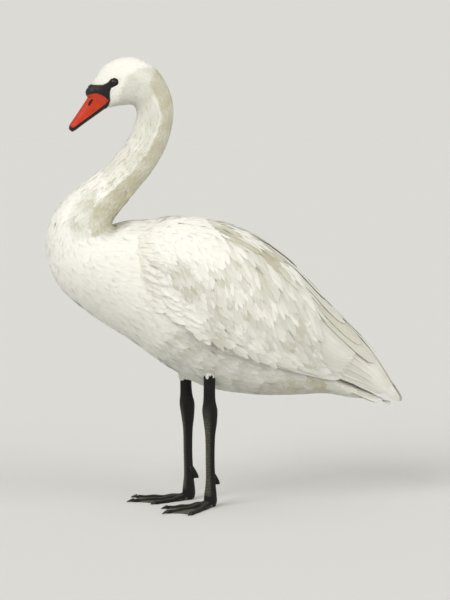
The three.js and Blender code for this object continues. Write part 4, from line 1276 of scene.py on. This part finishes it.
# The back between the wings.
back = {
    "start": 0.3, "end": 4.0, "edge": 0.12, "rise": 10,
    # at each wing station: length, half width, step between rows, step along a row
    "rows": [[34, 5.6, 9, 7], [46, 7.0, 13, 9], [60, 9, 18, 12], [60, 9, 20, 12], [60, 9, 20, 12]],
    "bed": {"along": (1.2, 4.9, 30), "across": (0.02, 0.98, 20), "under": (1.0, 2.6)},
    # the long feathers on either side of the middle, in the wing's order of numbers
    "tertials": [
        [2.7, 0.5, 5.1, 0.5, 15, -3, 0.6, 0], [2.5, 0.24, 4.75, 0.36, 15, -2.6, 1.2, 0.8],
        [2.4, 0.78, 4.5, 0.64, 15, -2.4, 1.7, -0.8], [2.1, 0.2, 4.1, 0.34, 16, -2, 2.2, 0.8],
        [2.0, 0.8, 3.8, 0.68, 16, -1.6, 2.7, -0.8], [1.9, 0.5, 3.7, 0.5, 15, -1.2, 2.9, 0],
        [1.6, 0.22, 3.3, 0.32, 15, -0.8, 3.2, 0.6], [1.5, 0.78, 3.1, 0.68, 15, -0.6, 3.4, -0.6]],
}


def backAt(t, b):
    # a quadratic bridge from one wing's upper edge to the other's, over a middle point set higher
    t, b = np.broadcast_arrays(t, b)
    v = np.full(t.shape, back["edge"])
    left, right = wingAt(-1)(t, v), wingAt(1)(t, v)
    top = (left + right) / 2 + back["rise"] * ease(t, 1.0, 2.4)[..., None] * np.array([0, 0, 1.0])
    b = b[..., None]
    return (1 - b) ** 2 * left + 2 * b * (1 - b) * top + b * b * right


def backCover(t, b):
    # over the wings' faces at both sides, nearer the bridge in the middle, sunk at its very front
    sides = np.clip(2 * b - 1, -1, 1) ** 2
    wings = wingCover(*wing["cover"])(t, back["edge"] + 0 * t) + 0.5
    return wings * mix(0.5 * ease(t, 0.8, 2.0), 1, sides) - 5 * (1 - ease(t, 0.3, 0.75))


rng = np.random.default_rng(43)
t, b = spreadRoots(backAt, (back["start"], back["end"]), (0.0, 1.0), lambda a: along(back["rows"], a), rng)
n = len(t)
length, half = (along(back["rows"], t)[:, :2] * rng.uniform(0.85, 1.15, (n, 1))).T
mantle = layCoat(backAt, 1, t, b, vanes["covert"], length, half, (b - 0.5) * -0.25 + rng.normal(0, 0.08, n),
                 np.full(n, -3.2), rng.uniform(-0.2, 0.8, n), rng, mapSpots(t / 5, b), backCover,
                 thick=0.24, fall=2.0, curl=0.35)
first, last, count = back["bed"]["along"]
s, across = np.meshgrid(np.linspace(0, 1, count), np.linspace(*back["bed"]["across"]), indexing="ij")
p, _, _, up = surfaceFrame(backAt, mix(first, last, s), across)
upper, lower = (p - up * depth for depth in back["bed"]["under"])
coatPiece("coatBack", [mantle], plumage, (), [bedPlate(upper, lower, s, across)])
coatPiece("backTertials", [layQuills(backAt, 1, back["tertials"], backCover, rng)], flightVane)

# The tail, in two layers.
tail = {
    "root": (183, 209), "slope": 0.34, "arch": 0.004, "length": 95, "shorter": 0.22, "halfWidth": (20, 46),
    "ragged": 0.02, "lift": 0.8,             # how unevenly the feathers end, and how far their tips rise
    "cover": 0.3,                            # their height over the surface
    "half": (8.2, 6.6),                      # a feather's half width in the middle and at the side
    "layers": ((12, 0.0, 1.0), (11, -1.6, 0.95)),  # feathers, drop and reach of each layer
}


def tailAt(a, b):
    # a low roof that drops to the rear and to both sides and widens to the tips
    across = 2 * b - 1
    y = across * mix(*tail["halfWidth"], a)
    run = a * tail["length"] * (1 - tail["shorter"] * across ** 2)
    x0, z0 = tail["root"]
    return np.stack([x0 + run, y, z0 - run * tail["slope"] - tail["arch"] * y * y], -1)


rng = np.random.default_rng(41)
rows = []
for count, drop, reach in tail["layers"]:
    for b in (np.arange(count) + 0.5) / count:
        off, end = abs(2 * b - 1), reach - tail["ragged"] * rng.random()
        rows.append([0.0, b, end, b, mix(*tail["half"], off), drop - off, drop + tail["lift"] - off, 0.0])
tailBlock = layQuills(tailAt, 1, rows, lambda a, b: tail["cover"], rng, thick=0.4, curl=0.3, margin=0.04)
coatPiece("tailFeathers", [tailBlock], flightVane, ["tail"])

# The legs and feet.
foot = {
    # each toe's turn outwards in degrees, its length and its claw's
    "toes": {"inner": (27, 80, 10), "middle": (2, 102, 12), "outer": (-23, 94, 10)},
    "half": (8, 4.2), "high": (7.5, 6), "rise": 9, "pads": 3, "swelling": 0.10,
    "web": 1.9, "webReach": 0.97, "hollow": 0.82, "folds": 0.35,
    "sole": 0.05, "floor": 0.02,              # lowest points before and after the form is one skin
    "voxel": 0.82, "smoothing": 4,
    "scute": 5.2, "toeScute": 3.4, "groove": 0.42,  # length of the plates, depth of the lines between them
    "line": 0.8, "toeLine": 0.6, "zigzag": 2.0,     # half width of the lines, and their step on the shin
    "shin": (16, 26, 160),                          # where the plates begin above the foot, and their top
}
claw = {"radius": 3.1, "blunt": 0.3, "height": 3.8, "bend": 2.6, "inside": 1.5, "past": 1.9, "narrow": 0.8}
legHighlightShare = {"web": 0.95, "shin": 0.75, "toes": 0.35}  # how far the black skin is painted olive as a highlight at each
legGrain = 420.0  # small scales to a metre

# Black leg skin, painted olive as a highlight where light falls on the web, the shin's front and the toes'
# tops.
legFinish, tree, shader = newMaterial("legSkin", {"Roughness": 0.55, "Specular IOR Level": 0.18})
legHighlight = attributeOf(tree, "legHighlight")
place = shaderNode(tree, "TexCoord").outputs["Object"]
scales = shaderNode(tree, "TexVoronoi", {"Vector": place, "Scale": legGrain},
                    feature="DISTANCE_TO_EDGE").outputs[0]
cell = shaderNode(tree, "TexVoronoi", {"Vector": place, "Scale": legGrain}).outputs["Color"]
base = colourRamp(tree, objectNoise(tree, 160.0, 4.0), [
    (0.3, (0.003, 0.003, 0.003)), (0.8, (0.009, 0.008, 0.008))])
olive = colourRamp(tree, objectNoise(tree, 260.0, 4.0), [
    (0.3, (0.080, 0.075, 0.052)), (0.8, (0.190, 0.180, 0.125))])
darker = calc(tree, "MULTIPLY", shaderNode(tree, "SeparateColor", {"Color": cell}).outputs[0], 0.35)
colour = mixColour(tree, darker, mixColour(tree, legHighlight, base, olive), (0.014, 0.013, 0.011))
tree.links.new(colour, shader.inputs["Base Color"])
plates = shaderNode(tree, "MapRange", {"Value": scales, "From Max": 0.14}).outputs[0]
rough = calc(tree, "MULTIPLY", objectNoise(tree, 1500.0), 0.3)
bump(tree, shader, calc(tree, "MULTIPLY_ADD", plates, 1.0, rough), 0.00035, 0.8)


def legRows(leg):
    # x, y, z, fore-and-aft and sideways radius, from inside the thigh to the top of the foot
    side, knee, hock, ankle = leg["side"], leg["knee"], leg["hock"], leg["ankle"]
    hipY, hockY, ankleY = (side * stance[k] for k in ("hip", "hock", "ankle"))
    top = stance["hockHeight"] + 6
    return np.array([
        [knee, hipY, 246, 10.5, 9.5], [knee, hipY - side * 2, 205, 10.2, 9],
        [hock - 1, hockY + side * 2, 186, 11, 9.6], [hock, hockY, top, 13.4, 11.2],
        [hock + 1, hockY - side, 148, 11.6, 9.4], [hock + 1, hockY - side * 2.5, 124, 8.8, 7.2],
        [(hock + ankle) / 2, (hockY + ankleY) / 2, 85, 8, 6.6], [ankle, ankleY + side * 1.5, 46, 8.6, 7.4],
        [ankle, ankleY, stance["ankleHeight"], 11, 10.6], [ankle, ankleY, 10, 11.6, 11.2],
        [ankle - 1, ankleY, 1, 10.2, 10.2]], float)


def toeHeading(leg, turn):
    # a toe's direction from above, in radians: straight ahead is pi
    return np.pi - leg["side"] * np.radians(leg["toeOut"] - turn)


def toePlace(leg, turn, run, across, z):
    # from a toe's own length and width to the foot's place under the ankle
    angle = toeHeading(leg, turn)
    x = leg["ankle"] + run * np.cos(angle) - across * np.sin(angle)
    y = leg["side"] * stance["ankle"] + run * np.sin(angle) + across * np.cos(angle)
    return np.stack([x, y, z + 0 * x], -1)


def toeRings(leg, turn, length):
    # half-round sections on a flat sole, swollen at the pads, rising to the ankle, rounded at the tip
    a, angle = np.linspace(0, 1, 60)[:, None], np.linspace(0, np.pi, 25)[None]
    tip = np.sqrt(np.clip(1 - ((a - 0.94) / 0.062) ** 2 * (a > 0.94), 0.02, 1))
    pad = (1 + foot["swelling"] * np.cos(2 * np.pi * foot["pads"] * a)) * tip
    half = mix(*foot["half"], a) * pad
    high = (mix(*foot["high"], a) + foot["rise"] * (1 - a) ** 4) * pad
    top = toePlace(leg, turn, a * length + 0 * angle, half * np.cos(angle), high * np.sin(angle))
    across = np.linspace(-1, 1, 7)[1:-1][None]
    sole = toePlace(leg, turn, a * length + 0 * across, half * across, foot["sole"])
    return np.concatenate([top, sole], 1)


def webRings(leg, first, second):
    # a fan from the ankle to a hollow free edge between two toe tips, thin, with low folds along it
    a, b = np.meshgrid(np.linspace(0.04, 1, 50), np.linspace(0, 1, 24), indexing="ij")
    c0, c1 = (toePlace(leg, toe[0], foot["webReach"] * toe[1], 0.0, 0.0) for toe in (first, second))
    centre = toePlace(leg, 0, 0.0, 0.0, 0.0)
    middle = centre + (c0 + c1 - 2 * centre) * foot["hollow"] / 2
    b3, a3 = b[..., None], a[..., None]
    edge = (1 - b3) ** 2 * c0 + 2 * b3 * (1 - b3) * middle + b3 * b3 * c1
    flat = centre + (edge - centre) * a3
    fold = foot["folds"] * np.sin(b * 8 * np.pi) * np.sin(np.pi * b) * ease(a, 0.1, 0.5)
    low, high = flat.copy(), flat.copy()
    low[..., 2] = foot["sole"]
    high[..., 2] = foot["web"] + fold + 1.5 * (1 - a) ** 2
    return np.concatenate([high, low[:, ::-1]], 1)


def remeshed(name, points, faces, voxel, smoothing):
    # one closed skin round all the forms, its points then drawn 0.6 of the way to their neighbours' middle
    rough = bpy.data.objects.new(name + "Rough", newMesh(name + "Rough", points, faces))
    bpy.context.scene.collection.objects.link(rough)
    skin = rough.modifiers.new("remesh", "REMESH")
    skin.mode, skin.voxel_size = "VOXEL", voxel * mm
    mesh = bpy.data.meshes.new_from_object(rough.evaluated_get(bpy.context.evaluated_depsgraph_get()))
    bpy.data.objects.remove(rough)
    mesh.name = name
    mesh.polygons.foreach_set("use_smooth", np.ones(len(mesh.polygons), bool))
    p, edges = np.zeros(len(mesh.vertices) * 3, np.float32), np.zeros(len(mesh.edges) * 2, np.int32)
    mesh.vertices.foreach_get("co", p)
    mesh.edges.foreach_get("vertices", edges)
    p, (i, j) = p.reshape(-1, 3) / mm, edges.reshape(-1, 2).T
    links = np.bincount(np.concatenate([i, j]), minlength=len(p))[:, None]
    for _ in range(smoothing):
        total = np.stack([np.bincount(i, p[j, k], len(p)) + np.bincount(j, p[i, k], len(p))
                          for k in range(3)], -1)
        p = mix(p, total / links, 0.6)
    return mesh, p


def placePoints(mesh, points):
    # the mesh's points moved, from millimetres
    mesh.vertices.foreach_set("co", (points * mm).astype(np.float32).ravel())
    mesh.update()


def normalsOf(mesh, points):
    # unit normals of the smooth mesh at these points
    placePoints(mesh, points)
    normal = np.zeros(len(points) * 3, np.float32)
    mesh.vertex_normals.foreach_get("vector", normal)
    return normal.reshape(-1, 3)


def legForm(leg):
    # the closed forms of a leg: its tube, three toes, two webs and the small hind toe
    around = np.linspace(0, 2 * np.pi, 48, endpoint=False)[None]
    forms = [limbAt(legRows(leg), np.linspace(0, 10, 240)[:, None], around)]
    toes = list(foot["toes"].values())
    forms += [toeRings(leg, turn, length) for turn, length, _ in toes]
    forms += [webRings(leg, *pair) for pair in zip(toes, toes[1:])]
    x, y, inwards = leg["ankle"], leg["side"] * stance["ankle"], -leg["side"]
    hind = np.array([[x + 4, y + inwards * 2, 60, 3.4, 4.4], [x + 6.5, y + inwards * 2.5, 53, 5.4, 4.6],
                     [x + 8.5, y + inwards * 3, 47, 6.6, 4.2], [x + 10.5, y + inwards * 3.5, 41.5, 6.8, 3.4],
                     [x + 12, y + inwards * 4, 38, 5.6, 2.2]])
    forms.append(limbAt(hind, np.linspace(0, 4, 40)[:, None], around))
    closed = [closedTube(form) for form in forms]
    return joined([(points, outward(points, faces)) for points, faces in closed])


def lineDistance(place, step):
    # distance to the nearest of lines set a step apart
    return np.abs(place / step - np.round(place / step)) * step


def shapeLeg(name, leg):
    # the leg's form as one skin, with lines of depth groove e^-(distance / width)^2 between its plates: a
    # column of them down the front of the tarsus, and rows over each toe. It is painted olive as a highlight
    # on the lit front of the shin, the tops of the toes and the web, half as much in the lines
    mesh, p = remeshed(name, *legForm(leg), foot["voxel"], foot["smoothing"])
    p[:, 2] = np.maximum(p[:, 2], foot["floor"])
    normal = normalsOf(mesh, p)
    x, y, z = p.T
    side, ankleY = leg["side"], leg["side"] * stance["ankle"]
    heading = np.radians(leg["toeOut"]) * side
    shin = normal @ np.array([-np.cos(heading), np.sin(heading), 0])
    low, high, top = foot["shin"]
    shank = ease(z, low, high)
    zigzag = foot["zigzag"] * np.sign(np.sin(np.arctan2(normal[:, 1], -normal[:, 0]) * 2.2))
    gap = lineDistance(z + zigzag + 40, foot["scute"])
    groove = foot["groove"] * np.exp(-(gap / foot["line"]) ** 2) * ease(shin, 0.1, 0.5) * shank * (z < top)
    dx, dy = x - leg["ankle"], y - ankleY
    toeShare = np.zeros(len(p))
    for turn, length, _ in foot["toes"].values():
        angle = toeHeading(leg, turn)
        run, off = dx * np.cos(angle) + dy * np.sin(angle), np.abs(-dx * np.sin(angle) + dy * np.cos(angle))
        half = mix(*foot["half"], np.clip(run / length, 0, 1))
        near = (1 - ease(off, half - 0.5, half + 1.5)) * (run > 14) * (z < 18)
        line = np.exp(-(lineDistance(run, foot["toeScute"]) / foot["toeLine"]) ** 2)
        groove = np.maximum(groove, 0.75 * foot["groove"] * line * near * ease(normal[:, 2], 0.1, 0.5))
        toeShare = np.maximum(toeShare, near)
    web = (1 - toeShare) * (z < 5) * (z > 0.6) * (np.hypot(dx, dy) > 12)
    p = p - normal * groove[:, None]
    p[:, 2] = np.maximum(p[:, 2], foot["floor"])
    normal = normalsOf(mesh, p)
    # painted highlight on the lit front of the shin, the toes' tops and the web
    front = legHighlightShare["shin"] * ease(shin, 0.45, 0.95) * shank * (1 - ease(z, 130, 190))
    toes = legHighlightShare["toes"] * toeShare * ease(normal[:, 2], 0.5, 0.95)
    legHighlight = np.clip(np.maximum(web * legHighlightShare["web"], front) + toes, 0, 1)
    setValues(mesh, {"legHighlight": legHighlight * (1 - 0.5 * groove / foot["groove"])})
    return mesh


def shapeClaw(leg, turn, length, reach):
    # a cone bent down to the floor by bend a^2, its radius radius (1 - a)^0.7 + blunt
    a, s = np.linspace(0, 0.985, 22)[:, None], np.linspace(0, 2 * np.pi, 24, endpoint=False)[None]
    r = claw["radius"] * (1 - a) ** 0.7 + claw["blunt"]
    z = np.maximum(claw["height"] - claw["bend"] * a * a + r * np.sin(s), 0.1)
    run = length - claw["inside"] + a * (reach + claw["past"]) + 0 * s
    points, faces = closedTube(toePlace(leg, turn, run, claw["narrow"] * r * np.cos(s), z))
    return points, outward(points, faces)


for name, leg in legs.items():
    nodes = [part + "_" + name for part in ("shank", "tarsus", "foot", "hind_toe")]
    addPiece(shapeLeg("leg" + name.title(), leg), legFinish, nodes)
    for toe, (turn, length, reach) in foot["toes"].items():
        points, faces = shapeClaw(leg, turn, length, reach)
        addPiece(newMesh("claw" + name.title() + toe.title(), points, faces), hornFinish,
                 ["claw_" + name + "_" + toe])

# The camera, in degrees and metres: round from square, up, distance, the middle looked at, and the height
# that it sees.
view = {"yaw": 10, "rise": 5, "away": 4.2, "target": (-0.007, 0, 0.3575), "tall": 1.05, "sensor": 36}
yaw, rise = np.radians(view["yaw"]), np.radians(view["rise"])
ahead = np.array([np.sin(yaw) * np.cos(rise), np.cos(yaw) * np.cos(rise), -np.sin(rise)])
camera = bpy.data.objects.new("camera", bpy.data.cameras.new("camera"))
bpy.context.scene.collection.objects.link(camera)
camera.location = np.array(view["target"]) - view["away"] * ahead
camera.rotation_euler = (np.pi / 2 - rise, 0, -yaw)
camera.data.sensor_fit = "VERTICAL"
camera.data.sensor_height = view["sensor"]
camera.data.lens = view["sensor"] * view["away"] / view["tall"]
camera.data.clip_end = 60  # past the floor's far edge
bpy.context.scene.camera = camera

studio = {
    "floor": (0.66, 0.66, 0.65), "floorRings": [0.01, 1, 3, 6, 14, 30], "floorSides": 96,
    "zenith": (0.62, 0.617, 0.60),
    # direction to each light, strength, spread and colour
    "key": ((-1.05, -0.85, 0.95), 1.5, 0.6, (1.0, 0.99, 0.965)),
    "fill": ((0.75, -0.75, 0.45), 1.1, 0.9, (1.0, 0.98, 0.93)),
}
floorFinish, tree, shader = newMaterial("floor", {
    "Base Color": (*studio["floor"], 1), "Roughness": 0.95, "Specular IOR Level": 0.0})
sides, radii = studio["floorSides"], np.array(studio["floorRings"])[:, None]
turn = np.linspace(0, 2 * np.pi, sides, endpoint=False)
disc = np.stack([radii * np.cos(turn), radii * np.sin(turn), 0 * radii * turn], -1).reshape(-1, 3) / mm
mesh = newMesh("floor", disc, [tubeFaces(len(radii), sides)[:, ::-1], np.arange(sides)[None]])
mesh.materials.append(floorFinish)
floor = bpy.data.objects.new("floor", mesh)
bpy.context.scene.collection.objects.link(floor)


def horizonColour():
    # h = floor (lamps / pi + (h + zenith) / 2), solved for h, so that the far floor and the sky meet unseen
    lamps = sum(strength * toward[2] / np.linalg.norm(toward) * np.array(colour)
                for toward, strength, _, colour in (studio["key"], studio["fill"]))
    floor, zenith = np.array(studio["floor"]), np.array(studio["zenith"])
    return floor * (lamps / np.pi + zenith / 2) / (1 - floor / 2)


world = bpy.data.worlds.new("studio")
world.use_nodes = True
tree = world.node_tree
toSky = shaderNode(tree, "TexCoord").outputs["Generated"]
height = shaderNode(tree, "SeparateXYZ", {"Vector": toSky}).outputs[2]
climb = calc(tree, "POWER", calc(tree, "MAXIMUM", height, 0.0), 2.0)
sky = mixColour(tree, climb, horizonColour(), studio["zenith"])
tree.links.new(sky, tree.nodes["Background"].inputs["Color"])
tree.nodes["Background"].inputs["Strength"].default_value = 1.0
bpy.context.scene.world = world


def sun(name, toward, strength, spread, colour):
    # parallel light, softened by its angle; toward is the way to the light
    lamp = bpy.data.lights.new(name, "SUN")
    lamp.energy, lamp.angle, lamp.color = strength, spread, colour
    made = bpy.data.objects.new(name, lamp)
    bpy.context.scene.collection.objects.link(made)
    x, y, z = toward
    made.rotation_euler = (np.arctan2(np.hypot(x, y), z), 0, np.arctan2(y, x) + np.pi / 2)


for name in ("key", "fill"):
    sun(name, *studio[name])
bpy.context.scene.view_settings.view_transform = "Standard"
print("set the camera, the floor, the sky and two lamps")
